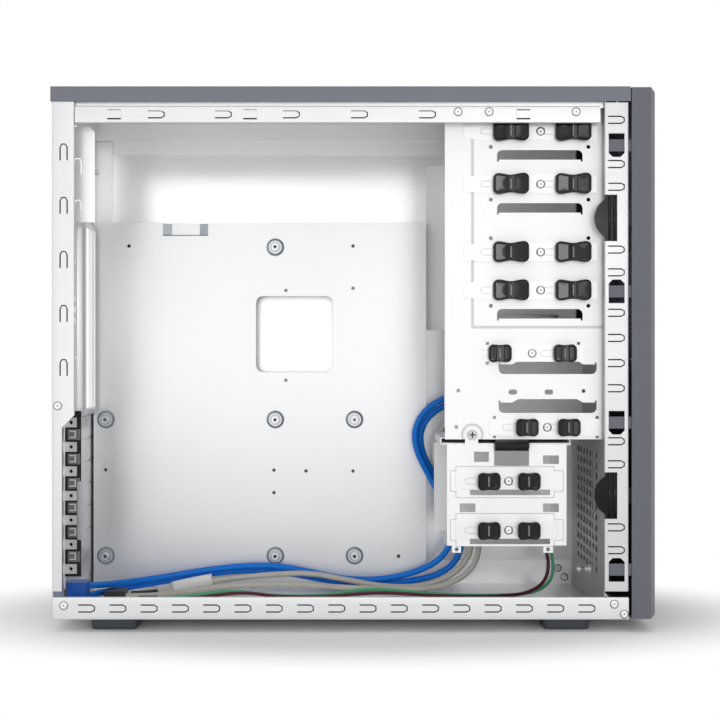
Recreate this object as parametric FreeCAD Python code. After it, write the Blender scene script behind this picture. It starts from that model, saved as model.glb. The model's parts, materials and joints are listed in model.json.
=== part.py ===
"""Mid-tower computer case with its left side panel taken off.

+X is the front, -Y the open left side, +Z up. The origin is at the middle of
the footprint, on the surface that the feet stand on. All sizes in millimetres.
"""
import FreeCAD
import Part
import math
import os

V = FreeCAD.Vector

# Overall size
DEPTH = 487.0
WIDTH = 192.0
HEIGHT = 438.0
STEEL = 1.0
FIT = 0.3
TOUCH = 0.2
CORNER_STEPS = 3

# Feet
FOOT_HEIGHT = 10.0
FOOT_RADIUS = 19.0
FOOT_TAPER = 1.0
FOOT_SIDES = 32
FOOT_X = (-195.0, 172.4)
FOOT_INSET = 33.0

# Rails round the open side
PAN_FLANGE = 18.0
PAN_FAR_FLANGE = 22.5
REAR_RAIL = 17.0
REAR_RAIL_NARROW = 7.0
REAR_RAIL_STEP = (163.8, 174.2)
TOP_RAIL = 13.6
TOP_RAIL_DROP = 15.7
TOP_RAIL_GAPS = (0.5, 3.3)
RAIL_HEM = 1.5
HEM_END = 3.0
RAIL_JOGGLE = 5.0
FRONT_RAIL = 19.4
FRONT_RAIL_DROP = 13.0

# Lanced U slits in the rails
SLIT_LENGTH = 14.0
SLIT_HEIGHT = 6.7
SLIT_LINE = 1.1
SLIT_STEPS = 3
PAN_SLITS = 17
PAN_SLIT_START = -214.3
PAN_SLIT_PITCH = 25.09
TOP_SLITS = (-158.4, -104.6, -50.0, 4.6, 59.2)
REAR_SLITS = (385.6, 342.7, 299.3, 256.0, 212.6)
FRONT_SLIT_DROPS = (26.9, 62.4, 80.6, 131.0, 149.3)
FRONT_SLIT_RISES = (153.2, 134.7, 84.1, 65.8)
FRONT_SLIT_GAPS = (18.1, 7.0)
FRONT_SLIT_PITCH = 20.2
HOOKS = (-192.5, -83.5, 136.0)
HOOK_LENGTH = 11.0
HOOK_HEIGHT = 6.0
HOOK_RISE = 0.8
CLIP_DROPS = ((47.2, -1), (164.5, 1))
CLIP_RISES = ((168.1, -1), (50.0, 1))
CLIP_WINDOW = (12.8, 19.0)
LATCH_DROP = 105.6
LATCH_RISE = 109.6
LATCH_NOTCH = (10.2, 37.4)

# Top cover and front bezel
COVER_LIP = 12.0
COVER_FRONT_GAP = 0.8
BEZEL_DEPTH = 20.7
BEZEL_GAP = 2.4
BEZEL_WALL = 2.5
BEZEL_EDGE = 5.4
BEZEL_BEVEL = 12.0
BEZEL_END = 0.8
BEZEL_TOP_BEVEL = 2.0
INTAKE_PITCH = 13.0
INTAKE_CLEAR = 12.0
INTAKE_SLOT = (120.0, 5.0)
INTAKE_START = 34.0

# Motherboard tray
TRAY_FACE = 73.0
TRAY_X = (-238.8, 65.2)
TRAY_TOP = 344.0
BOARD_X = (-227.5, -72.6, -0.2)
BOARD_Z = (39.5, 164.0, 321.5)
STANDOFF_RADIUS = 8.0
STANDOFF_STEP = 2.0
STANDOFF_BOSS = 3.3
STANDOFF_RISE = 6.0
STANDOFF_HOLE = 1.5
STANDOFF_SIDES = 14
CUTOUT = (-90.3, -19.9, 207.4, 276.9)
CUTOUT_RADIUS = 6.0
TRAY_TAB = (-175.4, -134.2, 12.0)
TRAY_TAB_DEPTH = 4.0
TRAY_HOLES = ((-206.4, 322.6), (-1.6, 322.6), (-1.6, 284.0), (-62.9, 282.0), (-62.9, 200.0),
              (-227.8, 118.0), (-44.6, 117.0), (-1.6, 117.0), (40.0, 39.0))
SMALL_HOLE = 1.7

# Rear panel
POWER_OPENING = (-60.0, 68.0, 72.0)
POWER_DROP = 16.0
POWER_SCREWS = (138.0, 64.0)
POWER_WIDTH = 150.0
POWER_FLANGE = (29.5, 78.0)
POWER_FLANGE_DROP = 29.0
POWER_FLANGE_CUT = 8.0
POWER_FLANGE_SLITS = (32.0, 66.0)
IO_OPENING = (16.5, 61.0, 176.0, 334.7)
IO_RIM = (6.4, 7.0)
IO_CORNER = 2.0
FAN_CENTRE = (-40.0, 262.0)
FAN_SCREWS = 82.5
FAN_RADIUS = 43.0
FAN_SLOTS = 9
FAN_SLOT = 5.0
SCREW_HOLE = 2.2
SLOTS = 7
SLOT_PITCH = 20.32
SLOT_FIRST = 158.7
SLOT_Y = (-44.0, 66.0)
SLOT_OPENING = 12.0
SLOT_COVER = 18.4
SLOT_SCREW_RISE = 7.7
LEDGE_Y = -48.0
LEDGE_REACH = 14.0
LEDGE_Z = (38.0, 176.0)
TAB_WIDTH = 8.0
TAB_REACH = 9.5
PANEL_HEM = 14.0
THUMBSCREW_ENDS = (52.0, 46.0)
THUMBSCREW_HEAD = (5.5, 4.5)
THUMBSCREW_SHANK = 1.75
SCREW_SIDES = 16

# Drive bays: one unit, measured from a corner this far behind the front panel and below the roof
BAY_FRONT = 201.0
BAY_TOP = 436.0
BAY_INSET = 16.0
BAY_RIGHT = 67.0
BAY_REAR = 73.8
BAY_RIGHT_REAR = 84.0
BAY_RIGHT_STRIP = 18.0
BAY_BOTTOM = 154.0
BAY_FOLD = 10.0
SHELF_Z = 246.0
DIVIDER_Y = 24.0
LARGE_BAY_FIRST = 252.4
LARGE_BAY_PITCH = 43.0
LARGE_BAYS = 4
LARGE_BAY_HEIGHT = 41.4
SMALL_BAY = (218.6, 25.6)
DRIVE_HOLES_X = (111.0, 190.2)
DRIVE_HOLES_Z = (391.4, 348.6, 317.3, 262.4)
GROOVE = (95.1, 2.0, 0.5)
GROOVE_CORNER = 6.0
LEDGE_DEPTH = 7.0
LARGE_WINDOWS = (381.0, 338.0, 252.0)
LARGE_WINDOW = (116.0, 185.5, 7.8)
SMALL_WINDOWS = ((207.0, 10.6), (175.4, 11.3))
SMALL_WINDOW = (117.3, 196.9)
WINDOW_CORNER = 4.0
WINDOW_LEG = (1.5, 1.6)
WINDOW_LIP = (11.0, 5.0, 2.8)
PAD_CORNER = 2.5
PLATE_HOLES = ((84.6, 193.6), (186.2, 193.2), (83.1, 164.0))
OVAL_HOLES = ((125.2, 132.4, 192.4), (154.6, 161.6, 192.4))
OVAL_HEIGHT = 4.2
STRIP_NOTCH = 2.4
SCREW_RING = (9.2, 7.2)

# Hard drive cage
CAGE_X = (75.4, 172.4)
CAGE_Z = (67.4, 149.8)
CAGE_FAR = 22.0
CAGE_FAR_REAR = 70.0
CAGE_FAR_TOP = 146.0
CAGE_PLATE_X = (72.0, 176.0)
CAGE_OPENING = (113.6, 142.0, 132.4)
CAGE_WINDOWS = ((94.0, 159.0, 108.8, 5.1), (94.0, 159.0, 69.0, 5.0), (85.7, 98.5, 95.0, 7.0),
                (153.3, 166.2, 95.0, 7.0), (153.3, 166.2, 134.0, 7.0), (97.3, 109.5, 135.7, 8.3))
CAGE_PADS = ((83.0, 162.0, 107.0, 131.5), (83.0, 162.0, 67.4, 93.5))
CAGE_PAD_RISE = 0.8
CAGE_PAD_EARS = (78.6, 169.4, 16.0)
CAGE_TABS = ((79.5, 86.8), (153.7, 161.4))
CAGE_TAB_DROP = 5.4
CAGE_LUG = (90.0, 100.6, 145.0, 163.5)
CAGE_SCREW = (95.9, 157.8)
CAGE_SCREW_HEAD = (3.9, 2.2)
CAGE_SCREW_SHANK = (1.6, 7.0)
RUNNER_LIP = 3.0
RUNNER_FAR = 18.0
RUNNER_INSET = 12.0
HANDLE_INSET = 8.0
HANDLE_GRIP = 5.0
HANDLE_REACH = 7.0
HANDLE_Z = (144.6, 153.6)

# Locking strips and rockers: strip height, rocker length and rocker height
LARGE_LOCK = (14.4, 29.0, 17.0)
SMALL_LOCK = (13.6, 18.8, 14.6)
LARGE_STRIP = (89.2, 197.2)
STRIP_TAB = (6.5, 12.4)
STRIP_CORNER = 2.0
TONGUE = (9.0, 6.0)
TONGUE_GAP = 1.6
TONGUE_LINE = 0.9
LARGE_ROCKERS = (127.0, 177.3)
LARGE_STRIP_Z = (403.9, 361.0, 305.9, 275.0)
UPPER_STRIP = (104.6, 185.8, 223.8)
UPPER_ROCKERS = (118.1, 170.7)
LOWER_STRIP = (110.3, 200.9, 163.8)
LOWER_ROCKERS = (139.8, 173.7)
CAGE_STRIP = (82.4, 165.9)
CAGE_ROCKERS = (109.0, 141.3)
CAGE_STRIP_Z = (120.2, 80.4)
ROCKER_TRAVEL = 14.0
ROCKER_THICK = 5.0
ROCKER_LIFT = 0.4
ROCKER_WAIST = 0.84
ROCKER_CORNER = 3.0
ROCKER_RIM = 1.2
ROCKER_DISH = 0.4
RIDGE_RADIUS = 1.5
RIDGE_HEIGHT = 0.8
RIDGE_PLAY = 0.1
GROOVE_SIDES = 16
ROCKER_SLOT = (2.0, 0.56)
PIN = (3.0, 4.0, 1.5)
PIN_PLAY = 1.0

# Front controls
CONTROL_WINDOW = (34.0, 70.0, 165.0, 232.0)
CONTROL_PLATE = 2.5
CONTROL_EDGE = 2.0
CONTROL_BOARD = (17.5, 2.0)
POWER_BUTTON = (52.0, 217.0, 16.0, 12.0)
RESET_BUTTON = (52.0, 202.5, 8.0, 6.0)
BUTTON_FLANGE = (1.5, 1.6)
BUTTON_TRAVEL = 2.5
PORTS = ((52.0, 188.0, 14.0, 6.6), (52.0, 176.5, 14.0, 6.6))
PORT_BLOCK = (169.0, 195.0)
PORT_DEPTH = 10.0

# Front panel intake
INTAKE_COLUMNS = 7
INTAKE_ROWS = 12
INTAKE_HOLE = (10.5, 5.0)
INTAKE_GRID = (17.0, 8.6)
INTAKE_CORNER = (-57.0, 42.0)

# Cables: diameters and routes
BLUE_CABLE = 5.6
GREY_CABLE = 5.0
THIN_WIRE = 2.0
BEND_SETBACK = 0.45
BLUE_PLUG = (-239.5, -223.5, -50.0, -30.0, 22.0)
GREY_PLUG = (-216.0, -198.0, -6.0, 16.0, 8.0)
WIRE_PLUG = (-186.0, -170.0, -18.0, -1.0, 4.0)
BLUE_ROUTE_1 = (
    (226, 50, 192), (190, 50.5, 193), (152, 52, 193), (114, 54, 191.5), (82, 56, 185.5),
    (62, 57, 172), (53.5, 57, 154), (56, 57, 136), (65, 57, 118), (76, 57, 98), (86, 57, 78),
    (89, 57, 58), (80, 57.3, 40), (62, 57.8, 29), (38, 58.4, 22), (13, 59, 19),
    (-14, 59.3, 20.5), (-42, 59.5, 27), (-72, 59, 32.5), (-104, 58, 32), (-136, 55.5, 28.5),
    (-166, 50.5, 24), (-192, 40, 21.5), (-210, 23, 21.5), (-222, 4, 23), (-229, -14, 25.5),
    (-231, -30, 27))
BLUE_ROUTE_2 = (
    (226, 58, 184), (190, 58, 185), (152, 59, 185), (116, 60, 183.5), (88, 61.5, 178),
    (71, 62.3, 168.5), (61.5, 62.8, 154.5), (60.5, 63, 138), (67, 63, 122), (77, 63, 105),
    (87, 63, 86), (95, 63, 67), (97.5, 63, 48), (89, 63.1, 31.5), (72, 63.3, 21.5), (50, 63.6, 16.5),
    (26, 64.1, 14.2), (0, 64.4, 14.2), (-28, 64.5, 16.5), (-56, 64.4, 22), (-86, 64, 25.3),
    (-118, 62.8, 23.8), (-150, 59.5, 19.5), (-180, 52.5, 15.8), (-204, 39, 14.2), (-220, 20, 14),
    (-230, 0, 14.8), (-233.5, -16, 16), (-233.5, -30, 17))
GREY_ROUTE_1 = (
    (226, 43, 178), (190, 43.5, 178.5), (152, 45, 178), (116, 46.5, 175), (90, 48, 167),
    (74, 48.5, 153), (70, 48.5, 136), (76, 48.5, 118), (86, 48.5, 99), (97.5, 48.5, 80),
    (105, 48.5, 60), (103, 48.5, 41), (89, 49, 25.5), (67, 49.5, 16.5), (43, 50, 14),
    (17, 50, 16), (-11, 50, 21.5), (-40, 50, 27), (-70, 49.5, 26), (-100, 49, 23.5),
    (-130, 47, 20), (-154, 39, 16), (-170, 26, 14), (-183, 14, 13.8), (-198, 10, 14))
GREY_ROUTE_2 = (
    (226, 37, 171), (190, 37, 171.5), (152, 38.5, 171), (120, 40, 167), (96, 41, 158),
    (82, 41.5, 143), (80, 41.5, 125), (87, 41.5, 106), (98, 41.5, 87), (108, 41.5, 68),
    (112, 41.5, 49), (105, 41.5, 31), (88, 42, 19), (64, 42, 14), (38, 42, 13.6),
    (10, 42, 14.2), (-18, 42.5, 15.5), (-48, 43, 17.5), (-79, 43, 18), (-109, 41, 17),
    (-136, 34, 15), (-156, 22, 13.8), (-171, 8, 13.6), (-184, 1.5, 13.8), (-198, 0, 14))
GREEN_ROUTE = (
    (226, 46, 210), (210, 45, 211), (196, 42, 208), (185, 38, 198), (178, 35, 183),
    (174.5, 33, 160), (172.5, 32, 132), (171, 31, 104), (171, 31, 77), (173, 31, 54),
    (176.5, 30, 36), (173, 27, 21), (158, 20, 13.5), (135, 13, 12.2), (108, 11, 12.2),
    (82, 13, 12.6), (57, 15.5, 14), (32, 16, 16.5), (10, 16, 17.5), (-10, 14.5, 14.5),
    (-32, 11, 12.2), (-58, 8, 12.2), (-84, 10, 13.5), (-108, 13, 16.5), (-130, 11, 14),
    (-149, 4, 12.3), (-161, -3, 12.2), (-170, -5, 12.4))
RED_ROUTE = (
    (226, 40, 204), (209, 39, 205), (194, 36.5, 201), (182, 33, 190), (174, 30.5, 174),
    (170, 29, 152), (168, 28.5, 126), (166.5, 28.5, 100), (166.5, 28.5, 75), (168.5, 28, 53),
    (172, 27, 37), (168, 23.5, 22), (152, 16, 13.5), (130, 8, 12.2), (104, 5.5, 12.2),
    (78, 7.5, 12.4), (52, 9.5, 13.5), (26, 10, 15), (3, 9, 14), (-19, 7, 12.4),
    (-44, 3, 12.2), (-70, 3.5, 12.8), (-92, 6.5, 15.5), (-112, 6, 14.5), (-134, 0, 12.4),
    (-150, -7, 12.2), (-161, -11.5, 12.2), (-170, -13, 12.4))

# Planes worked out from the sizes above
X_REAR = -DEPTH / 2
X_BACK = X_REAR + STEEL
X_BACK_IN = X_BACK + STEEL
X_FRONT = DEPTH / 2
X_BEZEL = X_FRONT - BEZEL_DEPTH
X_RAIL = X_BEZEL - BEZEL_GAP
X_PANEL = X_RAIL - FRONT_RAIL
X_PANEL_OUT = X_PANEL + STEEL
Y_SKIN = WIDTH / 2
Y_RAIL = Y_SKIN - STEEL
Y_RAIL_IN = Y_RAIL - STEEL
Z_PAN = FOOT_HEIGHT
Z_FLOOR = Z_PAN + STEEL
Z_COVER = HEIGHT - STEEL
Z_ROOF = Z_COVER - STEEL
Z_LIP = HEIGHT - COVER_LIP
BAY_LEFT = BAY_INSET - Y_SKIN
HANDLE_EDGE = BAY_LEFT + HANDLE_INSET
Y_HEM = Y_RAIL_IN - RAIL_HEM
Y_HEM_IN = Y_HEM - STEEL - TOUCH
Z_POWER = HEIGHT - POWER_DROP - POWER_OPENING[2]
THUMBSCREW_Z = (Z_PAN + THUMBSCREW_ENDS[0], HEIGHT - THUMBSCREW_ENDS[1])
CLIP_WINDOWS = [(HEIGHT - drop, turn) for drop, turn in CLIP_DROPS] + list(CLIP_RISES)
LATCH_HEIGHTS = (HEIGHT - LATCH_DROP, LATCH_RISE)
BAY_CORNER = V(X_PANEL - BAY_FRONT, 0, Z_ROOF - BAY_TOP)
X_BOARD = X_FRONT - CONTROL_BOARD[0]
Y_PLATE = BAY_LEFT - STEEL
Y_STRIP = Y_PLATE - STEEL
Y_CAGE_STRIP = Y_STRIP - CAGE_PAD_RISE

AXES = {"xy": lambda u, v, w: V(u, v, w),
        "xz": lambda u, v, w: V(u, w, v),
        "yz": lambda u, v, w: V(w, u, v)}


def box(x0, x1, y0, y1, z0, z1):
    """A block between two opposite corners."""
    return Part.makeBox(x1 - x0, y1 - y0, z1 - z0, V(x0, y0, z0))


def prism(plane, points, w0, w1):
    """A flat outline in a plane, pulled from w0 to w1 along the third axis."""
    at = AXES[plane]
    corners = [at(u, v, w0) for u, v in points]
    face = Part.Face(Part.makePolygon(corners + corners[:1]))
    return face.extrude(at(0, 0, w1) - at(0, 0, w0))


def folded(plane, inner, w0, w1):
    """Sheet folded along an open path of its inner face, with round outer bends."""
    at = AXES[plane]
    path = Part.makePolygon([at(u, v, w0) for u, v in inner])
    sides = [path.makeOffset2D(t, 0, True, True, False) for t in (STEEL, -STEEL)]
    outside = max(sides, key=lambda face: face.Area)
    return outside.extrude(at(0, 0, w1) - at(0, 0, w0))


def soft_corners(u0, u1, v0, v1, radius):
    """Outline of a rectangle with round corners, each in a few straight steps."""
    centres = ((u1 - radius, v1 - radius, 0), (u0 + radius, v1 - radius, 90),
               (u0 + radius, v0 + radius, 180), (u1 - radius, v0 + radius, 270))
    steps = [90 * i / CORNER_STEPS for i in range(CORNER_STEPS + 1)]
    turns = [(u, v, math.radians(start + step)) for u, v, start in centres for step in steps]
    return [(u + radius * math.cos(a), v + radius * math.sin(a)) for u, v, a in turns]


def rounded(plane, u0, u1, v0, v1, radius, w0, w1):
    """A rectangle with round corners, pulled along the third axis."""
    return prism(plane, soft_corners(u0, u1, v0, v1, radius), w0, w1)


def ring(plane, u, v, radius, sides, w):
    """Corners of a regular outline round a point."""
    turns = [2 * math.pi * (i + 0.5) / sides for i in range(sides)]
    return [AXES[plane](u + radius * math.cos(a), v + radius * math.sin(a), w) for a in turns]


def frustum(plane, u, v, radius0, radius1, sides, w0, w1):
    """A many-sided cone between two heights, closed with flat faces."""
    low, high = ring(plane, u, v, radius0, sides, w0), ring(plane, u, v, radius1, sides, w1)
    sheets = [low, high] + [[low[i - 1], low[i], high[i], high[i - 1]] for i in range(sides)]
    faces = [Part.Face(Part.makePolygon(sheet + sheet[:1])) for sheet in sheets]
    solid = Part.Solid(Part.makeShell(faces))
    solid.fix(1e-6, 1e-6, 1e-6)
    return solid


def small_hole(plane, u, v, radius, w0, w1):
    """A punched hole, cut as an octagon of the same width."""
    return frustum(plane, u, v, radius, radius, 8, w0, w1)


def drilled(axis, x, y, z, radius, length):
    """A round hole or pin from a point along an axis."""
    return Part.makeCylinder(radius, length, V(x, y, z), axis)


def slit(plane, u, v, turn, w0, w1, size=(SLIT_LENGTH, SLIT_HEIGHT, SLIT_LINE)):
    """A lanced U: two lines joined by a round end, which points along the turn."""
    half = size[0] / 2
    outer = size[1] / 2
    inner = outer - size[2]
    centre = half - outer
    steps = [math.radians(90 - 180 * i / SLIT_STEPS) for i in range(SLIT_STEPS + 1)]
    rim = [(centre + outer * math.cos(a), outer * math.sin(a)) for a in steps]
    core = [(centre + inner * math.cos(a), inner * math.sin(a)) for a in reversed(steps)]
    points = [(-half, outer)] + rim + [(-half, -outer), (-half, -inner)] + core + [(-half, inner)]
    c, s = math.cos(math.radians(turn)), math.sin(math.radians(turn))
    return prism(plane, [(u + a * c - b * s, v + a * s + b * c) for a, b in points], w0, w1)


def ledge_below(x0, x1, z, height, y):
    """A window with round upper corners, its sheet bent inwards at the lower edge as a drive ledge."""
    leg, drop = WINDOW_LEG
    y0, y1 = y - STEEL, y + 2 * STEEL
    hole = rounded("xz", x0, x1, z - height, z + height, WINDOW_CORNER, y0, y1)
    hole = hole.cut(box(x0 + leg, x1 - leg, y0, y1, z - 2 * height, z))
    hole = hole.cut(box(x0, x1, y0, y1, z - 2 * height, z - drop))
    ledge = box(x0 + leg, x1 - leg, y, y + STEEL + LEDGE_DEPTH, z - STEEL, z)
    return hole, ledge


def ledge_above(x0, x1, z, height, y):
    """A window with round lower corners; the raised middle of its upper edge is bent in as a ledge."""
    leg, rise = WINDOW_LEG
    lip, slope, low = WINDOW_LIP
    y0, y1 = y - STEEL, y + 2 * STEEL
    top = z + height
    hole = rounded("xz", x0, x1, z, top + height, WINDOW_CORNER, y0, y1)
    hole = hole.cut(box(x0, x1, y0, y1, top - low, top + 2 * height))
    middle = [(x0 + lip, top - low), (x1 - lip, top - low), (x1 - lip - slope, top), (x0 + lip + slope, top)]
    ends = [box(x, x + leg, y0, y1, top - low - TOUCH, top - low + rise) for x in (x0, x1 - leg)]
    hole = hole.multiFuse([prism("xz", middle, y0, y1)] + ends)
    ledge = box(x0 + lip + slope, x1 - lip - slope, y, y + STEEL + LEDGE_DEPTH, top, top + STEEL)
    return hole, ledge


def bottom_pan():
    top = Z_PAN + PAN_FLANGE - STEEL
    path = [(-Y_HEM, Z_FLOOR + HEM_END), (-Y_HEM, top), (-Y_RAIL_IN, top), (-Y_RAIL_IN, Z_FLOOR),
            (Y_RAIL_IN, Z_FLOOR), (Y_RAIL_IN, Z_PAN + PAN_FAR_FLANGE)]
    pan = folded("yz", path, X_BACK_IN, X_RAIL)
    middle = Z_PAN + PAN_FLANGE / 2
    cuts = [slit("xz", PAN_SLIT_START + i * PAN_SLIT_PITCH, middle, 0, -Y_SKIN, -Y_RAIL_IN + STEEL)
            for i in range(PAN_SLITS)]
    return pan.cut(cuts)


def roof_panel():
    y_in = Y_RAIL_IN - RAIL_JOGGLE
    z_top = HEIGHT - TOP_RAIL_DROP
    left = [(-Y_RAIL_IN, z_top - TOP_RAIL), (-Y_RAIL_IN, z_top - STEEL), (-y_in, z_top - STEEL),
            (-y_in, Z_ROOF)]
    low = z_top - TOP_RAIL + STEEL
    hem = [(-Y_HEM, z_top - STEEL - HEM_END), (-Y_HEM, low), (-Y_RAIL_IN, low)]
    path = hem + left[1:] + [(-u, v) for u, v in reversed(left)]
    roof = folded("yz", path, X_BACK_IN, X_PANEL)
    middle = z_top - TOP_RAIL / 2
    below = z_top - TOP_RAIL - STEEL
    cuts = [slit("xz", x, middle, 0, -Y_SKIN, -Y_RAIL_IN + STEEL) for x in TOP_SLITS]
    rear_gap, front_gap = TOP_RAIL_GAPS
    for x0, x1 in ((X_BACK_IN, X_BACK_IN + REAR_RAIL + rear_gap), (X_PANEL - front_gap, X_PANEL)):
        for side in (-1, 1):
            y = sorted((side * (y_in + STEEL), side * Y_SKIN))
            cuts.append(box(x0, x1, y[0], y[1], below, z_top + STEEL))
    bridges = []
    for x in HOOKS:
        half = HOOK_LENGTH / 2
        for z in (middle - HOOK_HEIGHT / 2 - SLIT_LINE, middle + HOOK_HEIGHT / 2):
            cuts.append(box(x - half, x + half, -Y_SKIN, -Y_RAIL_IN + STEEL, z, z + SLIT_LINE))
        bridges.append(box(x - half, x + half, -Y_RAIL - HOOK_RISE, -Y_RAIL,
                           middle - HOOK_HEIGHT / 2, middle + HOOK_HEIGHT / 2))
    return roof.cut(cuts).multiFuse(bridges).removeSplitter()


def io_rim(x_start, wall):
    """Drawn rim round the socket opening: its outline narrows as it rises, along a quarter round."""
    y0, y1, z0, z1 = IO_OPENING
    high, wide = IO_RIM
    turns = [math.radians(90 * i / CORNER_STEPS) for i in range(1, CORNER_STEPS + 1)]
    rises = [(x_start, wide + wall)]
    rises += [(X_BACK_IN + high * math.sin(a) - STEEL + wall, wide * math.cos(a) + wall) for a in turns]
    sections = []
    for x, out in rises:
        outline = soft_corners(y0 - out, y1 + out, z0 - out, z1 + out, IO_CORNER + out)
        sections.append(Part.makePolygon([V(x, y, z) for y, z in outline + outline[:1]]))
    return Part.makeLoft(sections, True, True)


def power_flange(y_mid):
    """Flange bent in beside the power supply, which steadies its left face."""
    reach, tall = POWER_FLANGE
    c = POWER_FLANGE_CUT
    y = y_mid - POWER_WIDTH / 2 - FIT
    x0, x1 = X_BACK_IN - TOUCH, X_BACK_IN + reach
    z1 = HEIGHT - POWER_FLANGE_DROP
    z0 = z1 - tall
    points = [(x0, z0 + c), (x0 + c, z0), (x1, z0), (x1, z1 - c / 2), (x1 - c / 2, z1), (x0, z1)]
    slits = [slit("xz", x1 - SLIT_LENGTH, z1 - drop, 90, y - 2 * STEEL, y + STEEL)
             for drop in POWER_FLANGE_SLITS]
    return prism("xz", points, y - STEEL, y).cut(slits)


def rear_panel():
    x_rail = X_BACK_IN + REAR_RAIL
    x_hem = x_rail - STEEL
    path = [(X_BACK_IN + HEM_END, -Y_HEM), (x_hem, -Y_HEM), (x_hem, -Y_RAIL_IN), (X_BACK_IN, -Y_RAIL_IN),
            (X_BACK_IN, Y_RAIL_IN), (x_rail, Y_RAIL_IN)]
    panel = folded("xy", path, Z_PAN, Z_COVER)
    ledge = box(X_BACK_IN - TOUCH, X_BACK_IN + LEDGE_REACH, LEDGE_Y - STEEL, LEDGE_Y, *LEDGE_Z)
    y_mid = (POWER_OPENING[0] + POWER_OPENING[1]) / 2
    z_mid = Z_POWER + POWER_OPENING[2] / 2
    panel = panel.multiFuse([ledge, power_flange(y_mid), io_rim(X_BACK_IN - TOUCH, STEEL)])
    x_narrow = X_BACK_IN + REAR_RAIL_NARROW
    low, high = REAR_RAIL_STEP
    x_far = x_rail + STEEL
    step = [(x_narrow, Z_PAN + PAN_FLANGE), (x_narrow, low), (x_rail, high), (x_far, high),
            (x_far, Z_PAN + PAN_FLANGE)]
    cuts = [io_rim(X_REAR, 0)]
    for side in (-1, 1):
        y = sorted((side * Y_HEM_IN, side * Y_SKIN))
        cuts.append(prism("xz", step, *y))
        cuts.append(box(X_BACK_IN, x_far, y[0], y[1], 0, Z_PAN + PAN_FAR_FLANGE + FIT))
        cuts.append(box(X_BACK_IN, x_far, y[0], y[1], Z_LIP - FIT, HEIGHT))
    x_slit = X_BACK_IN + REAR_RAIL / 2
    cuts += [slit("xz", x_slit, z, 90, -Y_SKIN, -Y_RAIL_IN + STEEL) for z in REAR_SLITS]
    x0, x1 = X_REAR, X_BACK_IN + STEEL
    cuts.append(box(x0, x1, POWER_OPENING[0], POWER_OPENING[1], Z_POWER, Z_POWER + POWER_OPENING[2]))
    cuts.append(box(x0, x1 + IO_RIM[0], *IO_OPENING))
    spread_y, spread_z = POWER_SCREWS
    for side_y in (-1, 1):
        for side_z in (-1, 1):
            y, z = y_mid + side_y * spread_y / 2, z_mid + side_z * spread_z / 2
            cuts.append(drilled(V(1, 0, 0), x0, y, z, SCREW_HOLE, x1 - x0))
            y = FAN_CENTRE[0] + side_y * FAN_SCREWS / 2
            z = FAN_CENTRE[1] + side_z * FAN_SCREWS / 2
            cuts.append(drilled(V(1, 0, 0), x0, y, z, SCREW_HOLE, x1 - x0))
    pitch = 2 * FAN_RADIUS / FAN_SLOTS
    for i in range(FAN_SLOTS):
        rise = (i - (FAN_SLOTS - 1) / 2) * pitch
        reach = math.sqrt(FAN_RADIUS ** 2 - rise ** 2) - FAN_SLOT / 2
        z = FAN_CENTRE[1] + rise
        cuts.append(box(x0, x1, FAN_CENTRE[0] - reach, FAN_CENTRE[0] + reach,
                        z - FAN_SLOT / 2, z + FAN_SLOT / 2))
    for i in range(SLOTS):
        z = SLOT_FIRST - i * SLOT_PITCH
        screw = z + SLOT_SCREW_RISE
        cuts.append(box(x0, x1, SLOT_Y[0], SLOT_Y[1], z - SLOT_OPENING / 2, z + SLOT_OPENING / 2))
        cuts.append(box(X_BACK_IN, X_BACK_IN + STEEL + TOUCH, LEDGE_Y - 2 * STEEL, LEDGE_Y + STEEL,
                        screw - TAB_WIDTH / 2 - TOUCH, screw + TAB_WIDTH / 2 + TOUCH))
        cuts.append(small_hole("xz", X_BACK_IN + STEEL + TAB_REACH / 2, screw, SMALL_HOLE,
                               LEDGE_Y - 2 * STEEL, LEDGE_Y + STEEL))
    for z in THUMBSCREW_Z:
        cuts.append(small_hole("yz", Y_SKIN - PANEL_HEM / 2, z, THUMBSCREW_SHANK + TOUCH, x0, x1))
    return panel.cut(cuts).removeSplitter()


def slot_covers():
    covers = []
    for i in range(SLOTS):
        z = SLOT_FIRST - i * SLOT_PITCH
        screw = z + SLOT_SCREW_RISE
        half = TAB_WIDTH / 2
        x_in = X_BACK_IN + STEEL
        plate = box(X_BACK_IN, x_in, LEDGE_Y, TRAY_FACE, z - SLOT_COVER / 2, z + SLOT_COVER / 2)
        neck = box(X_BACK_IN, x_in, LEDGE_Y - 2 * STEEL, LEDGE_Y, screw - half, screw + half)
        tab = box(x_in, x_in + TAB_REACH, LEDGE_Y - 2 * STEEL, LEDGE_Y - STEEL, screw - half, screw + half)
        hole = small_hole("xz", x_in + TAB_REACH / 2, screw, SCREW_HOLE,
                          LEDGE_Y - 3 * STEEL, LEDGE_Y)
        covers.append(plate.multiFuse([neck, tab]).cut(hole).removeSplitter())
    return Part.makeCompound(covers)


def front_windows(x0, x1):
    """Cuts for the small bay and the controls, in the front panel and in the bezel."""
    z = BAY_CORNER.z
    y0, y1, z0, z1 = CONTROL_WINDOW
    small, tall = SMALL_BAY
    bay = box(x0, x1, BAY_LEFT, DIVIDER_Y, z + small, z + small + tall)
    return [bay, box(x0, x1, y0, y1, z + z0, z + z1)]


def front_slit_heights():
    """Slits near either end keep their places; those between the middle clip windows fill the room there."""
    heights = [HEIGHT - drop for drop in FRONT_SLIT_DROPS] + list(FRONT_SLIT_RISES)
    half = CLIP_WINDOW[1] / 2
    low = CLIP_RISES[0][0] + half + FRONT_SLIT_GAPS[0]
    high = HEIGHT - CLIP_DROPS[1][0] - half - FRONT_SLIT_GAPS[1]
    count = int((high - low) // FRONT_SLIT_PITCH) + 1
    return heights + [low + i * FRONT_SLIT_PITCH for i in range(count)]


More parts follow.
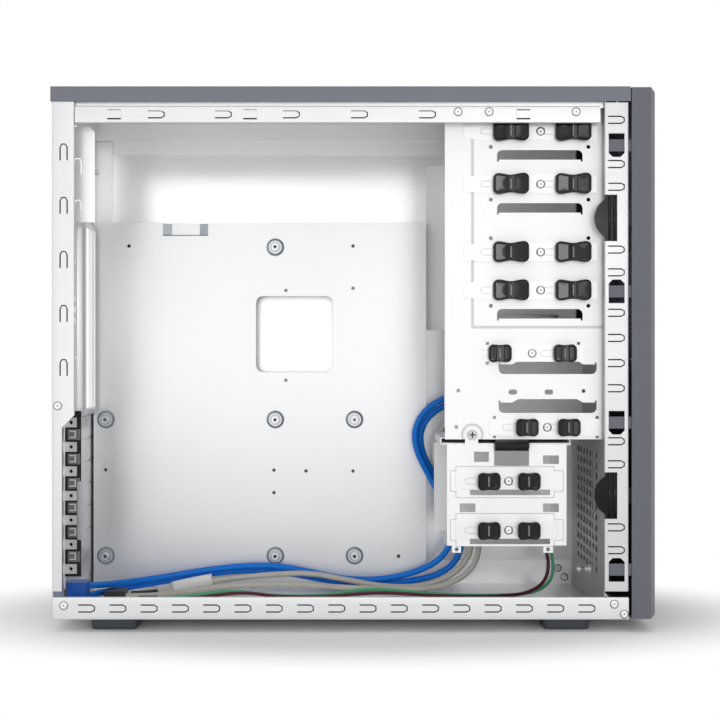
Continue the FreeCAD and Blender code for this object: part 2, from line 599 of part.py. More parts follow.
def front_panel():
    x_hem = X_RAIL - STEEL
    path = [(X_PANEL_OUT + HEM_END, -Y_HEM), (x_hem, -Y_HEM), (x_hem, -Y_RAIL_IN), (X_PANEL_OUT, -Y_RAIL_IN),
            (X_PANEL_OUT, Y_RAIL_IN), (X_RAIL, Y_RAIL_IN)]
    panel = folded("xy", path, Z_FLOOR, Z_COVER)
    cuts = []
    low = Z_PAN + PAN_FAR_FLANGE + FIT
    for side in (-1, 1):
        y = sorted((side * Y_HEM_IN, side * Y_SKIN))
        cuts.append(box(X_PANEL_OUT, X_RAIL + STEEL, y[0], y[1], HEIGHT - FRONT_RAIL_DROP, HEIGHT))
        cuts.append(box(X_PANEL - STEEL, X_RAIL + STEEL, y[0], y[1], 0, low))
    x_slit = (X_PANEL + X_RAIL) / 2
    left = (-Y_SKIN, -Y_RAIL_IN + STEEL)
    cuts += [slit("xz", x_slit, z, 0, *left) for z in front_slit_heights()]
    hem = (X_PANEL_OUT + STEEL, X_RAIL + STEEL, -Y_RAIL_IN, -Y_HEM_IN)
    width, height = CLIP_WINDOW
    for z, turn in CLIP_WINDOWS:
        half, c = width / 2, width / 4
        top = turn * height / 2
        points = [(-half, -top), (half, -top), (half, top - turn * c), (half - c, top), (c - half, top),
                  (-half, top - turn * c)]
        cuts.append(prism("xz", [(x_slit + u, z + v) for u, v in points], *left))
        cuts.append(box(*hem, z - height / 2, z + height / 2))
    reach, tall = LATCH_NOTCH
    for z in LATCH_HEIGHTS:
        cuts.append(box(*hem, z - tall / 2, z + tall / 2))
        cuts.append(box(X_PANEL - STEEL, X_PANEL + reach, -Y_SKIN, -Y_RAIL_IN + RAIL_JOGGLE,
                        z - tall / 2, z + tall / 2))
    x0, x1 = X_PANEL - STEEL, X_PANEL_OUT + STEEL
    for i in range(LARGE_BAYS):
        z = BAY_CORNER.z + LARGE_BAY_FIRST + i * LARGE_BAY_PITCH
        cuts.append(box(x0, x1, BAY_LEFT, BAY_RIGHT, z, z + LARGE_BAY_HEIGHT))
    cuts += front_windows(x0, x1)
    for i in range(INTAKE_COLUMNS):
        for j in range(INTAKE_ROWS):
            y = INTAKE_CORNER[0] + i * INTAKE_GRID[0]
            z = INTAKE_CORNER[1] + j * INTAKE_GRID[1]
            cuts.append(box(x0, x1, y, y + INTAKE_HOLE[0], z, z + INTAKE_HOLE[1]))
    return panel.cut(cuts).removeSplitter()


def motherboard_tray():
    x0, x1 = TRAY_X
    y0, y1 = TRAY_FACE, TRAY_FACE + STEEL
    sheet = box(x0, x1, y0, y1, Z_FLOOR, TRAY_TOP)
    front = box(x1 - STEEL, x1, y1, Y_RAIL_IN, Z_PAN + PAN_FAR_FLANGE, TRAY_TOP)
    top = box(x0, x1, y1, Y_RAIL_IN, TRAY_TOP - STEEL, TRAY_TOP)
    pieces = [front, top]
    spots = [(x, z) for x in BOARD_X for z in BOARD_Z[:2]] + [(BOARD_X[1], BOARD_Z[2])]
    step = STANDOFF_STEP
    holes = []
    for x, z in spots:
        base = frustum("xz", x, z, STANDOFF_RADIUS, STANDOFF_RADIUS - step, STANDOFF_SIDES, y0, y0 - step)
        boss = frustum("xz", x, z, STANDOFF_BOSS, STANDOFF_BOSS, STANDOFF_SIDES, y0, y0 - STANDOFF_RISE)
        pieces += [base, boss]
        holes.append(drilled(V(0, 1, 0), x, y0 - STANDOFF_RISE, z, STANDOFF_HOLE, STANDOFF_RISE + STEEL))
    tab0, tab1, drop = TRAY_TAB
    ramp = TRAY_TAB_DEPTH
    notch = box(tab0, tab1, y0 - STEEL, y1 + 2 * ramp, TRAY_TOP - drop, TRAY_TOP + STEEL)
    holes.append(notch)
    holes.append(rounded("xz", *CUTOUT, CUTOUT_RADIUS, y0 - STEEL, y1 + STEEL))
    holes += [small_hole("xz", x, z, SMALL_HOLE, y0 - STEEL, y1 + STEEL) for x, z in TRAY_HOLES]
    dip = [(tab0, y0), (tab0 + 2 * ramp, y0 + ramp), (tab1 - 2 * ramp, y0 + ramp), (tab1, y0),
           (tab1, y1), (tab1 - 2 * ramp, y1 + ramp), (tab0 + 2 * ramp, y1 + ramp), (tab0, y1)]
    bridge = prism("xy", dip, TRAY_TOP - drop + STEEL, TRAY_TOP - STEEL)
    return sheet.multiFuse(pieces).cut(holes).fuse(bridge).removeSplitter()


def right_side_panel():
    skin = box(X_REAR, X_BEZEL - COVER_FRONT_GAP, Y_RAIL, Y_SKIN, Z_PAN, Z_LIP)
    hem = box(X_REAR, X_BACK, Y_SKIN - PANEL_HEM, Y_RAIL, Z_PAN + PAN_FLANGE, Z_LIP)
    y, radius = Y_SKIN - PANEL_HEM / 2, THUMBSCREW_SHANK + TOUCH
    holes = [small_hole("yz", y, z, radius, X_REAR - STEEL, X_BACK + STEEL) for z in THUMBSCREW_Z]
    return skin.fuse(hem).cut(holes).removeSplitter()


def thumbscrews():
    radius, tall = THUMBSCREW_HEAD
    screws = []
    for z in THUMBSCREW_Z:
        y = Y_SKIN - PANEL_HEM / 2
        head = frustum("yz", y, z, radius, radius, SCREW_SIDES, X_REAR - tall, X_REAR)
        x_end = X_REAR + 2 * THUMBSCREW_SHANK + 2 * STEEL
        screws.append(head.fuse(small_hole("yz", y, z, THUMBSCREW_SHANK, X_REAR - TOUCH, x_end)))
    return Part.makeCompound(screws)


def top_cover():
    path = [(-Y_RAIL, Z_LIP), (-Y_RAIL, Z_COVER), (Y_RAIL, Z_COVER), (Y_RAIL, Z_LIP)]
    cover = folded("yz", path, X_REAR, X_BEZEL - COVER_FRONT_GAP)
    lip = box(X_REAR, X_BACK, -Y_RAIL, Y_RAIL, Z_LIP, Z_COVER)
    return cover.fuse(lip).removeSplitter()


def feet():
    cones = []
    for x in FOOT_X:
        for side in (-1, 1):
            y = side * (Y_SKIN - FOOT_INSET)
            sole = FOOT_RADIUS - FOOT_TAPER
            cones.append(frustum("xy", x, y, sole, FOOT_RADIUS, FOOT_SIDES, 0, FOOT_HEIGHT))
    return Part.makeCompound(cones)


def bay_cage_left_plate():
    y = Y_PLATE
    x_end, z_end = BAY_FRONT, BAY_TOP
    plate = box(BAY_REAR, x_end, y, BAY_LEFT, BAY_BOTTOM, z_end)
    fold = box(BAY_REAR, BAY_REAR + STEEL, BAY_LEFT, BAY_LEFT + BAY_FOLD, BAY_BOTTOM + BAY_FOLD, z_end)
    x, width, deep = GROOVE
    r = GROOVE_CORNER
    field = rounded("xz", x, x_end + 2 * r, SHELF_Z - width, z_end + 2 * r, r, y - STEEL, y + deep)
    inner = rounded("xz", x + width, x_end + 3 * r, SHELF_Z, z_end + 3 * r, r - width, y - STEEL, y + deep)
    cuts = [field.cut(inner)]
    windows = [ledge_below(LARGE_WINDOW[0], LARGE_WINDOW[1], z, LARGE_WINDOW[2], y) for z in LARGE_WINDOWS]
    windows += [ledge_above(SMALL_WINDOW[0], SMALL_WINDOW[1], z, height, y) for z, height in SMALL_WINDOWS]
    cuts += [hole for hole, ledge in windows]
    ledges = [fold] + [ledge for hole, ledge in windows]
    spots = [(x, z) for x in DRIVE_HOLES_X for z in DRIVE_HOLES_Z] + list(PLATE_HOLES)
    cuts += [small_hole("xz", x, z, SMALL_HOLE, y - STEEL, BAY_LEFT + STEEL) for x, z in spots]
    half = OVAL_HEIGHT / 2
    cuts += [rounded("xz", x0, x1, z - half, z + half, half - TOUCH, y - STEEL, BAY_LEFT + STEEL)
             for x0, x1, z in OVAL_HOLES]
    n = STRIP_NOTCH
    for x0, x1, z in (UPPER_STRIP, LOWER_STRIP):
        for u in (x0 + n, x1 - 2 * n):
            for v in (z - SMALL_LOCK[0] / 2 - n, z + SMALL_LOCK[0] / 2):
                cuts.append(box(u, u + n, y - STEEL, BAY_LEFT + STEEL, v, v + n))
    wide, narrow = SCREW_RING
    x, z = CAGE_SCREW
    discs = [frustum("xz", x, z, r, r, SCREW_SIDES, y - STEEL, y + deep) for r in (wide, narrow)]
    cuts.append(discs[0].cut(discs[1]))
    cuts.append(small_hole("xz", x, z, CAGE_SCREW_SHANK[0] + FIT, y - STEEL, BAY_LEFT + STEEL))
    cuts += pin_holes(bay_locks(), y)
    return plate.cut(cuts).multiFuse(ledges).removeSplitter()


def bay_cage_right_plate():
    x_end, z_end = BAY_FRONT, BAY_TOP
    z_rail = z_end + 2 * STEEL - TOP_RAIL_DROP - TOP_RAIL - FIT
    plate = box(BAY_RIGHT_REAR, x_end, BAY_RIGHT, BAY_RIGHT + STEEL, SHELF_Z, z_end)
    web = box(BAY_RIGHT_REAR, BAY_RIGHT_REAR + STEEL, BAY_RIGHT, Y_RAIL, SHELF_Z, z_rail)
    strip = box(BAY_RIGHT_REAR - BAY_RIGHT_STRIP, BAY_RIGHT_REAR, Y_RAIL_IN, Y_RAIL,
                SHELF_Z, z_rail - BAY_FOLD)
    cuts, ledges = [], []
    for z in LARGE_WINDOWS:
        x0, x1, height = LARGE_WINDOW
        cuts.append(box(x0, x1, BAY_RIGHT - STEEL, BAY_RIGHT + 2 * STEEL, z, z + height))
        ledges.append(box(x0, x1, BAY_RIGHT - LEDGE_DEPTH, BAY_RIGHT + STEEL, z - STEEL, z))
    return plate.cut(cuts).multiFuse([web, strip] + ledges).removeSplitter()


def bay_cage_shelf():
    x_end = BAY_FRONT
    shelf = box(BAY_RIGHT_REAR, x_end, BAY_LEFT, BAY_RIGHT + STEEL, SHELF_Z - STEEL, SHELF_Z)
    divider = box(BAY_RIGHT_REAR, x_end, DIVIDER_Y, DIVIDER_Y + STEEL, BAY_BOTTOM, SHELF_Z)
    x0, x1 = CAGE_PLATE_X[0] - FIT, CAGE_PLATE_X[1] + FIT
    floor = box(x0 - STEEL, x_end, BAY_LEFT, DIVIDER_Y + STEEL, BAY_BOTTOM, BAY_BOTTOM + STEEL)
    floor = floor.cut(box(x0 - 2 * STEEL, BAY_REAR + 2 * STEEL, BAY_LEFT - STEEL, BAY_LEFT + BAY_FOLD + STEEL,
                          BAY_BOTTOM - STEEL, BAY_BOTTOM + 2 * STEEL))
    lip_top = CAGE_Z[1] - FIT
    lip_bottom = lip_top - STEEL
    runners = []
    for wall0, lip0, lip1 in ((x0 - STEEL, x0 - STEEL, x0 + RUNNER_LIP), (x1, x1 - RUNNER_LIP, x1 + STEEL)):
        runners.append(box(wall0, wall0 + STEEL, BAY_LEFT + RUNNER_INSET, RUNNER_FAR, lip_bottom, BAY_BOTTOM))
        runners.append(box(lip0, lip1, BAY_LEFT + RUNNER_INSET, RUNNER_FAR, lip_bottom, lip_top))
    ledges = [box(SMALL_WINDOW[0], SMALL_WINDOW[1], DIVIDER_Y - LEDGE_DEPTH, DIVIDER_Y + STEEL,
                  z + height, z + height + STEEL) for z, height in SMALL_WINDOWS]
    return shelf.multiFuse([divider, floor] + runners + ledges).removeSplitter()


def hdd_cage():
    x0, x1 = CAGE_X
    z0, z1 = CAGE_Z
    path = [(BAY_LEFT, z1), (BAY_LEFT, z0 + STEEL), (CAGE_FAR, z0 + STEEL), (CAGE_FAR, z1)]
    cage = folded("yz", path, x0, x1)
    y = Y_PLATE
    pieces = [box(CAGE_FAR_REAR, x0, CAGE_FAR, CAGE_FAR + STEEL, z0 + STEEL, CAGE_FAR_TOP)]
    cuts = []
    ear0, ear1, ear = CAGE_PAD_EARS
    for (px0, px1, pz0, pz1), z in zip(CAGE_PADS, CAGE_STRIP_Z):
        pieces.append(rounded("xz", px0, px1, pz0, pz1, PAD_CORNER, y - CAGE_PAD_RISE, y))
        pieces.append(rounded("xz", ear0, ear1, z - ear / 2, z + ear / 2, PAD_CORNER, y - CAGE_PAD_RISE, y))
    ox0, ox1, oz = CAGE_OPENING
    cuts.append(box(ox0, ox1, y - 2 * STEEL, BAY_LEFT + STEEL, oz, z1 + STEEL))
    for wx0, wx1, wz, height in CAGE_WINDOWS:
        cuts.append(box(wx0, wx1, y - 2 * STEEL, BAY_LEFT + STEEL, wz, wz + height))
    cuts += pin_holes(cage_locks(), y)
    for tx0, tx1 in CAGE_TABS:
        pieces.append(box(tx0, tx1, y, BAY_LEFT, z0 - CAGE_TAB_DROP, z0 + STEEL))
        cuts.append(small_hole("xz", (tx0 + tx1) / 2, z0 - CAGE_TAB_DROP / 2, SMALL_HOLE,
                               y - STEEL, BAY_LEFT + STEEL))
    pieces.append(rounded("xz", *CAGE_LUG, PAD_CORNER, y - STEEL, y))
    cuts.append(small_hole("xz", *CAGE_SCREW, CAGE_SCREW_SHANK[0] + TOUCH, y - 2 * STEEL, BAY_LEFT + STEEL))
    return cage.multiFuse(pieces).cut(cuts).removeSplitter()


def hdd_cage_top_plate():
    z = CAGE_Z[1]
    plate = box(CAGE_PLATE_X[0], CAGE_PLATE_X[1], BAY_LEFT, CAGE_FAR, z, z + STEEL)
    notch = box(CAGE_OPENING[0], CAGE_OPENING[1], Y_PLATE, HANDLE_EDGE, z - STEEL, z + 2 * STEEL)
    return plate.cut(notch)


def cage_handle():
    z0, z1 = HANDLE_Z
    y0, y1 = BAY_LEFT - HANDLE_REACH, HANDLE_EDGE + HANDLE_GRIP
    x0, x1 = CAGE_OPENING[0] + FIT, CAGE_OPENING[1] - FIT
    c = HANDLE_GRIP
    points = [(y1, z1), (y0 + c, z1), (y0, z1 - c / 2), (y0, z0 + c / 2), (y0 + c, z0), (y1, z0 + c / 2)]
    grip = prism("yz", points, x0, x1)
    groove = box(x0 - STEEL, x1 + STEEL, HANDLE_EDGE, y1 + STEEL, CAGE_Z[1], CAGE_Z[1] + STEEL)
    return grip.cut(groove)


def cage_screw():
    x, z = CAGE_SCREW
    radius, tall = CAGE_SCREW_HEAD
    shank, reach = CAGE_SCREW_SHANK
    y = Y_PLATE - STEEL
    head = frustum("xz", x, z, radius, radius, SCREW_SIDES, y - tall, y)
    return head.fuse(small_hole("xz", x, z, shank, y - TOUCH, y + reach))


def bay_locks():
    """Each lock on the bay cage: name, strip ends, height, rocker places, kind and pressed side."""
    locks = [("large_bay_%d" % (i + 1), LARGE_STRIP, z, LARGE_ROCKERS, LARGE_LOCK, -1)
             for i, z in enumerate(LARGE_STRIP_Z)]
    locks.append(("upper_small_bay", UPPER_STRIP[:2], UPPER_STRIP[2], UPPER_ROCKERS, SMALL_LOCK, -1))
    locks.append(("lower_small_bay", LOWER_STRIP[:2], LOWER_STRIP[2], LOWER_ROCKERS, SMALL_LOCK, 1))
    return locks


def cage_locks():
    """The two locks on the hard drive cage."""
    return [("drive_slot_%d" % (i + 1), CAGE_STRIP, z, CAGE_ROCKERS, SMALL_LOCK, 1)
            for i, z in enumerate(CAGE_STRIP_Z)]


def pin_place(x, length, pressed):
    """Middle of the lock pin, under the pressed wing."""
    return x + pressed * (length / 2 - ROCKER_CORNER - PIN[0] / 2)


def pin_holes(locks, y):
    """Square holes through a sheet and the strip on it, one for each lock pin."""
    wide, tall, reach = PIN
    holes = []
    for name, ends, z, places, (height, length, pad), pressed in locks:
        for x in places:
            u = pin_place(x, length, pressed)
            holes.append(box(u - wide / 2 - PIN_PLAY, u + wide / 2 + PIN_PLAY, y - 4 * STEEL, y + 4 * STEEL,
                             z - tall / 2 - FIT, z + tall / 2 + FIT))
    return holes


def lock_strip(lock, y_face):
    """Stamped strip with one half-round ridge under each rocker."""
    name, (x0, x1), z, places, (height, length, pad), pressed = lock
    y0, y1 = y_face, y_face + STEEL
    tab, tall = STRIP_TAB
    web = rounded("xz", x0 + tab, x1, z - height / 2, z + height / 2, STRIP_CORNER, y0, y1)
    web = web.fuse(rounded("xz", x0, x0 + 2 * tab, z - tall / 2, z + tall / 2, STRIP_CORNER, y0, y1))
    tongues = [slit("xz", x - length / 2 - TONGUE_GAP - TONGUE[0] / 2, z, 180, y0 - STEEL, y1 + STEEL,
                    TONGUE + (TONGUE_LINE,)) for x in places]
    web = web.cut(pin_holes([lock], y_face) + tongues)
    half = height / 2 - STEEL
    inside = box(x0, x1, y_face - 2 * RIDGE_RADIUS, y_face + STEEL / 2, z - half, z + half)
    ridges = []
    for x in places:
        rod = drilled(V(0, 0, 1), x, y_face - RIDGE_HEIGHT, z - half, RIDGE_RADIUS, 2 * half)
        ridges.append(rod.common(inside))
    return web.multiFuse(ridges).removeSplitter()


def lock_rocker(x, z, y_face, lock_kind, pressed):
    """Two finger pads in a shallow V, rocking on the ridge, with a lock pin under one pad."""
    height, length, pad = lock_kind
    half = length / 2
    turn = math.radians(ROCKER_TRAVEL)
    c, s = math.cos(turn), math.sin(turn)
    low, high = ROCKER_LIFT, ROCKER_LIFT + ROCKER_THICK
    valley = -ROCKER_THICK * math.tan(turn / 2)
    lift = [(-half, low), (0, low), (half * c, low + half * s),
            (half * c - ROCKER_THICK * s, low + half * s + ROCKER_THICK * c), (valley, high), (-half, high)]
    body = prism("xy", [(x - pressed * u, y_face - h) for u, h in lift], z - pad, z + pad)
    k, h, w = ROCKER_CORNER, pad / 2, pad / 2 * ROCKER_WAIST
    rim = [(k - half, -h), (-k, -w), (k, -w), (half - k, -h), (half, k - h), (half, h - k), (half - k, h),
           (k, w), (-k, w), (k - half, h), (-half, h - k), (-half, k - h)]
    outline = prism("xz", [(x + u, z + v) for u, v in rim], y_face - 2 * half, y_face + STEEL)
    wide, tall, reach = PIN
    u = pin_place(x, length, pressed)
    pin = box(u - wide / 2, u + wide / 2, y_face - low - TOUCH, y_face + 2 * STEEL + reach,
              z - tall / 2, z + tall / 2)
    radius = (RIDGE_RADIUS + RIDGE_PLAY) / math.cos(math.pi / GROOVE_SIDES)
    groove = frustum("xy", x, y_face - RIDGE_HEIGHT, radius, radius, GROOVE_SIDES, z - pad, z + pad)
    wide, share = ROCKER_SLOT
    window = box(x - wide / 2, x + wide / 2, y_face - 2 * half, y_face, z - share * h, z + share * h)
    r, top = ROCKER_RIM, y_face - high
    wing = half + valley
    dish = [(k, r - w), (wing - k, r - h), (wing - r, k - h), (wing - r, h - k), (wing - k, h - r),
            (k, w - r)]
    x_valley = x - pressed * valley
    dishes = [prism("xz", [(x_valley + way * u, z + v) for u, v in dish], top - STEEL, top + ROCKER_DISH)
              for way in (pressed, -pressed)]
    dishes[1].rotate(V(x_valley, top, z), V(0, 0, 1), pressed * ROCKER_TRAVEL)
    return body.common(outline).fuse(pin).cut([groove, window] + dishes).removeSplitter()


def front_bezel():
    x_edge = X_FRONT - BEZEL_EDGE
    y_face = Y_SKIN - BEZEL_BEVEL
    z0, z1 = Z_PAN + BEZEL_END, HEIGHT - BEZEL_END
    b, w = BEZEL_TOP_BEVEL, BEZEL_WALL
    plan = [(X_BEZEL, -Y_SKIN), (x_edge, -Y_SKIN), (X_FRONT, -y_face), (X_FRONT, y_face), (x_edge, Y_SKIN),
            (X_BEZEL, Y_SKIN)]
    side = [(X_BEZEL, z0), (x_edge, z0), (X_FRONT, z0 + b), (X_FRONT, z1 - b), (x_edge, z1), (X_BEZEL, z1)]
    outer = prism("xy", plan, z0, z1).common(prism("xz", side, -Y_SKIN, Y_SKIN))
    hollow = [(X_BEZEL - w, w - Y_SKIN), (x_edge - w / 2, w - Y_SKIN), (X_FRONT - w, w / 2 - y_face),
              (X_FRONT - w, y_face - w / 2), (x_edge - w / 2, Y_SKIN - w), (X_BEZEL - w, Y_SKIN - w)]
    cuts = [prism("xy", hollow, z0 + w, z1 - w)]
    x0, x1 = X_FRONT - 2 * w, X_FRONT + w
    bottom = BAY_CORNER.z + LARGE_BAY_FIRST
    cuts.append(box(x0, x1, BAY_LEFT, BAY_RIGHT, bottom, bottom + LARGE_BAYS * LARGE_BAY_PITCH))
    cuts += front_windows(x0, x1)
    long, tall = INTAKE_SLOT
    room = BAY_CORNER.z + CONTROL_WINDOW[2] - INTAKE_CLEAR - INTAKE_START
    for i in range(int(room // INTAKE_PITCH)):
        z = INTAKE_START + i * INTAKE_PITCH
        cuts.append(box(x0, x1, -long / 2, long / 2, z, z + tall))
    arms = []
    width, height = CLIP_WINDOW
    for z, turn in CLIP_WINDOWS:
        for side in (-1, 1):
            y = sorted((side * (Y_RAIL_IN - TOUCH), side * (Y_SKIN - 2 * w)))
            arms.append(box(X_PANEL_OUT, X_BEZEL + w, y[0], y[1], z - height / 4, z + height / 4))
    return outer.cut(cuts).multiFuse(arms).removeSplitter()


def bezel_latches():
    """Black moulded latches that spring the bezel off, each with a half-round finger pad."""
    reach, tall = LATCH_NOTCH
    x_rail = X_PANEL + reach
    y0, y1 = -Y_RAIL_IN + TOUCH, -Y_SKIN + 2 * BEZEL_WALL
    pieces = []
    for z in LATCH_HEIGHTS:
        back = box(x_rail - reach / 2, X_BEZEL + 2 * BEZEL_WALL, -Y_SKIN + BEZEL_WALL, y1,
                   z - tall / 6, z + tall / 6)
        plate = box(X_PANEL + STEEL, x_rail - FIT, -Y_RAIL_IN, y1, z - tall / 2 + FIT, z + tall / 2 - FIT)
        radius = tall / 2 - STEEL
        disc = drilled(V(0, 1, 0), X_PANEL + STEEL + radius / 2, -Y_RAIL_IN, z, radius, y1 + Y_RAIL_IN)
        half = disc.common(box(X_PANEL - tall, X_PANEL + 2 * STEEL, -Y_SKIN, Y_SKIN, z - tall, z + tall))
        pieces.append(plate.multiFuse([back, half]).removeSplitter())
    return Part.makeCompound(pieces)


def bay_cover(y0, y1, z0, height):
    """Blanking cover with two spring arms that run back inside the bezel."""
    x1 = X_FRONT - TOUCH
    x0 = x1 - BEZEL_WALL
    plate = box(x0, x1, y0 + FIT, y1 - FIT, z0 + FIT, z0 + height - FIT)
    arms = []
    for y in (y0 + FIT, y1 - FIT - BEZEL_WALL / 2):
        arms.append(box(X_BEZEL, x0, y, y + BEZEL_WALL / 2, z0 + height / 4, z0 + 3 * height / 4))
    return plate.multiFuse(arms).removeSplitter()


def button_hole(place, x0, x1, play):
    y, z, wide, tall = place
    return box(x0, x1, y - wide / 2 - play, y + wide / 2 + play, z - tall / 2 - play, z + tall / 2 + play)


def front_io_module():
    y0, y1, z0, z1 = CONTROL_WINDOW
    x1 = X_FRONT - TOUCH
    x0 = x1 - CONTROL_PLATE
    plate = box(x0, x1, y0 + FIT, y1 - FIT, z0 + FIT, z1 - FIT)
    edge, thick = CONTROL_EDGE, CONTROL_BOARD[1]
    board = box(X_BOARD, X_BOARD + thick, y0 + edge, y1 - edge, z0 + edge, z1 - edge)
    block = box(X_BOARD + thick, x0, y0 + edge, y1 - edge, *PORT_BLOCK)
    cuts = [button_hole(p, x0 - STEEL, x1 + STEEL, FIT) for p in (POWER_BUTTON, RESET_BUTTON)]
    cuts += [button_hole(p, x1 - PORT_DEPTH, x1 + STEEL, 0) for p in PORTS]
    return plate.multiFuse([board, block]).cut(cuts).removeSplitter()


def push_button(place):
    """Button cap with a retaining flange behind the plate and a plunger."""
    y, z, wide, tall = place
    x_plate = X_FRONT - TOUCH - CONTROL_PLATE
    rim, thick = BUTTON_FLANGE
    cap = button_hole(place, x_plate - FIT, X_FRONT, 0)
    flange = button_hole(place, x_plate - FIT - thick, x_plate - FIT, rim)
    end = X_BOARD + CONTROL_BOARD[1] + BUTTON_TRAVEL + FIT
    plunger = drilled(V(1, 0, 0), end, y, z, tall / 4, x_plate - FIT - thick - end)
    return cap.multiFuse([flange, plunger]).removeSplitter()


def cable(route, diameter):
    """Round cable on straight runs joined by tangent arcs, each as large as its runs allow."""
    points = [V(*p) for p in route]
    edges, radii = [], []
    start = points[0]
    for before, corner, after in zip(points, points[1:], points[2:]):
        back, ahead = before - corner, after - corner
        short = min(back.Length, ahead.Length)
        half_turn = (math.pi - back.getAngle(ahead)) / 2
        setback = BEND_SETBACK * short
        back.normalize()
        ahead.normalize()
        entry, leave = corner + back * setback, corner + ahead * setback
        radius = setback / math.tan(half_turn)
        radii.append(radius)
        bisector = (back + ahead).normalize()
        middle = corner + bisector * (radius / math.cos(half_turn) - radius)
        edges.append(Part.LineSegment(start, entry).toShape())
        edges.append(Part.Arc(entry, middle, leave).toShape())
        start = leave
    edges.append(Part.LineSegment(start, points[-1]).toShape())
    path = Part.Wire(edges)
    ring = Part.Wire(Part.makeCircle(diameter / 2, points[0], points[1] - points[0]))
    tube = path.makePipeShell([ring], True, False)
    section = math.pi * diameter ** 2 / 4
    print("cable %.1f: length %.0f, least radius %.1f, volume ratio %.4f"
          % (diameter, path.Length, min(radii), tube.Volume / (section * path.Length)))
    return tube


def plug(place):
    """Header plug that stands on the floor of the pan."""
    x0, x1, y0, y1, tall = place
    block = box(x0, x1, y0, y1, Z_FLOOR, Z_FLOOR + tall)
    return block.makeChamfer(STEEL / 2, [e for e in block.Edges if e.CenterOfMass.z > Z_FLOOR + tall - STEEL])


def build():
    nodes = {
        "bottom_pan": bottom_pan(), "rear_panel": rear_panel(), "roof_panel": roof_panel(),
        "front_panel": front_panel(), "motherboard_tray": motherboard_tray(),
        "right_side_panel": right_side_panel(), "thumbscrews": thumbscrews(), "top_cover": top_cover(),
        "feet": feet(), "slot_covers": slot_covers(), "bay_cage_left_plate": bay_cage_left_plate(),
        "bay_cage_right_plate": bay_cage_right_plate(), "bay_cage_shelf": bay_cage_shelf(),
        "hdd_cage": hdd_cage(), "hdd_cage_top_plate": hdd_cage_top_plate(), "cage_handle": cage_handle(),
        "cage_screw": cage_screw(), "front_bezel": front_bezel(), "bezel_latches": bezel_latches(),
        "front_io_module": front_io_module(), "power_button": push_button(POWER_BUTTON),
        "reset_button": push_button(RESET_BUTTON),
    }
    for i in range(LARGE_BAYS):
        z = BAY_CORNER.z + LARGE_BAY_FIRST + i * LARGE_BAY_PITCH
        nodes["bay_cover_%d" % (LARGE_BAYS - i)] = bay_cover(BAY_LEFT, BAY_RIGHT, z, LARGE_BAY_PITCH)
    nodes["small_bay_cover"] = bay_cover(BAY_LEFT, DIVIDER_Y, BAY_CORNER.z + SMALL_BAY[0], SMALL_BAY[1])
    for name in ("front_io_module", "power_button", "reset_button"):
        nodes[name].translate(V(0, 0, BAY_CORNER.z))
    unit = ["bay_cage_left_plate", "bay_cage_right_plate", "bay_cage_shelf", "hdd_cage", "hdd_cage_top_plate",
            "cage_handle", "cage_screw"]
    locks = [(lock, Y_STRIP) for lock in bay_locks()] + [(lock, Y_CAGE_STRIP) for lock in cage_locks()]
    for lock, y_face in locks:
        name, ends, z, places, kind, pressed = lock
        nodes[name + "_strip"] = lock_strip(lock, y_face)
        unit.append(name + "_strip")
        for side, x in zip(("rear", "front"), places):
            nodes["%s_%s_rocker" % (name, side)] = lock_rocker(x, z, y_face, kind, pressed)
            unit.append("%s_%s_rocker" % (name, side))
    for name in unit:
        nodes[name].translate(BAY_CORNER)
    nodes["blue_cable_1"] = cable(BLUE_ROUTE_1, BLUE_CABLE)
    nodes["blue_cable_2"] = cable(BLUE_ROUTE_2, BLUE_CABLE)
    nodes["grey_cable_1"] = cable(GREY_ROUTE_1, GREY_CABLE)
    nodes["grey_cable_2"] = cable(GREY_ROUTE_2, GREY_CABLE)
    nodes["green_wire"] = cable(GREEN_ROUTE, THIN_WIRE)
    nodes["red_wire"] = cable(RED_ROUTE, THIN_WIRE)
    nodes["blue_plug"] = plug(BLUE_PLUG)
    nodes["grey_plug"] = plug(GREY_PLUG)
    nodes["wire_plug"] = plug(WIRE_PLUG)
    return nodes


os.makedirs("parts", exist_ok=True)
for node, shape in build().items():
    shape.exportStep("parts/%s.step" % node)
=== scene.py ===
import json
import math

import bmesh
import bpy
import numpy as np
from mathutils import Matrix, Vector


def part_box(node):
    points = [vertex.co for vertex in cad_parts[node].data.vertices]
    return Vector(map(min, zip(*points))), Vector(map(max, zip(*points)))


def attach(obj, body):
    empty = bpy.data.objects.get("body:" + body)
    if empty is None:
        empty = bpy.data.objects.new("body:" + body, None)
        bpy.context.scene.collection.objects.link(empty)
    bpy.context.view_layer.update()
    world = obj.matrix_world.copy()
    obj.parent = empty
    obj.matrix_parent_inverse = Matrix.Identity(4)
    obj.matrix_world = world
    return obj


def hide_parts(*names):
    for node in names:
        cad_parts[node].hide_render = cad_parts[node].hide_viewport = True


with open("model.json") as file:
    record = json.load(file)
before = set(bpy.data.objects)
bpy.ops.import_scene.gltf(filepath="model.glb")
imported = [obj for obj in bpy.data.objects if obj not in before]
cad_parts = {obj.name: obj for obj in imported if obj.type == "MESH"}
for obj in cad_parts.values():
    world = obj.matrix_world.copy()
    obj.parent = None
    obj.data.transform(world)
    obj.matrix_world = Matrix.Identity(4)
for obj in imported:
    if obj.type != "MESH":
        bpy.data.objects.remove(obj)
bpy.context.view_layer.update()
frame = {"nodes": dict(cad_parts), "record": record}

node = frame["nodes"]

# Bottom pan: one sheet of zinc-coated steel folded up at both sides. Its left flange is
# the lower rail of the open side, with a row of lanced slits that the side panel hooks into.


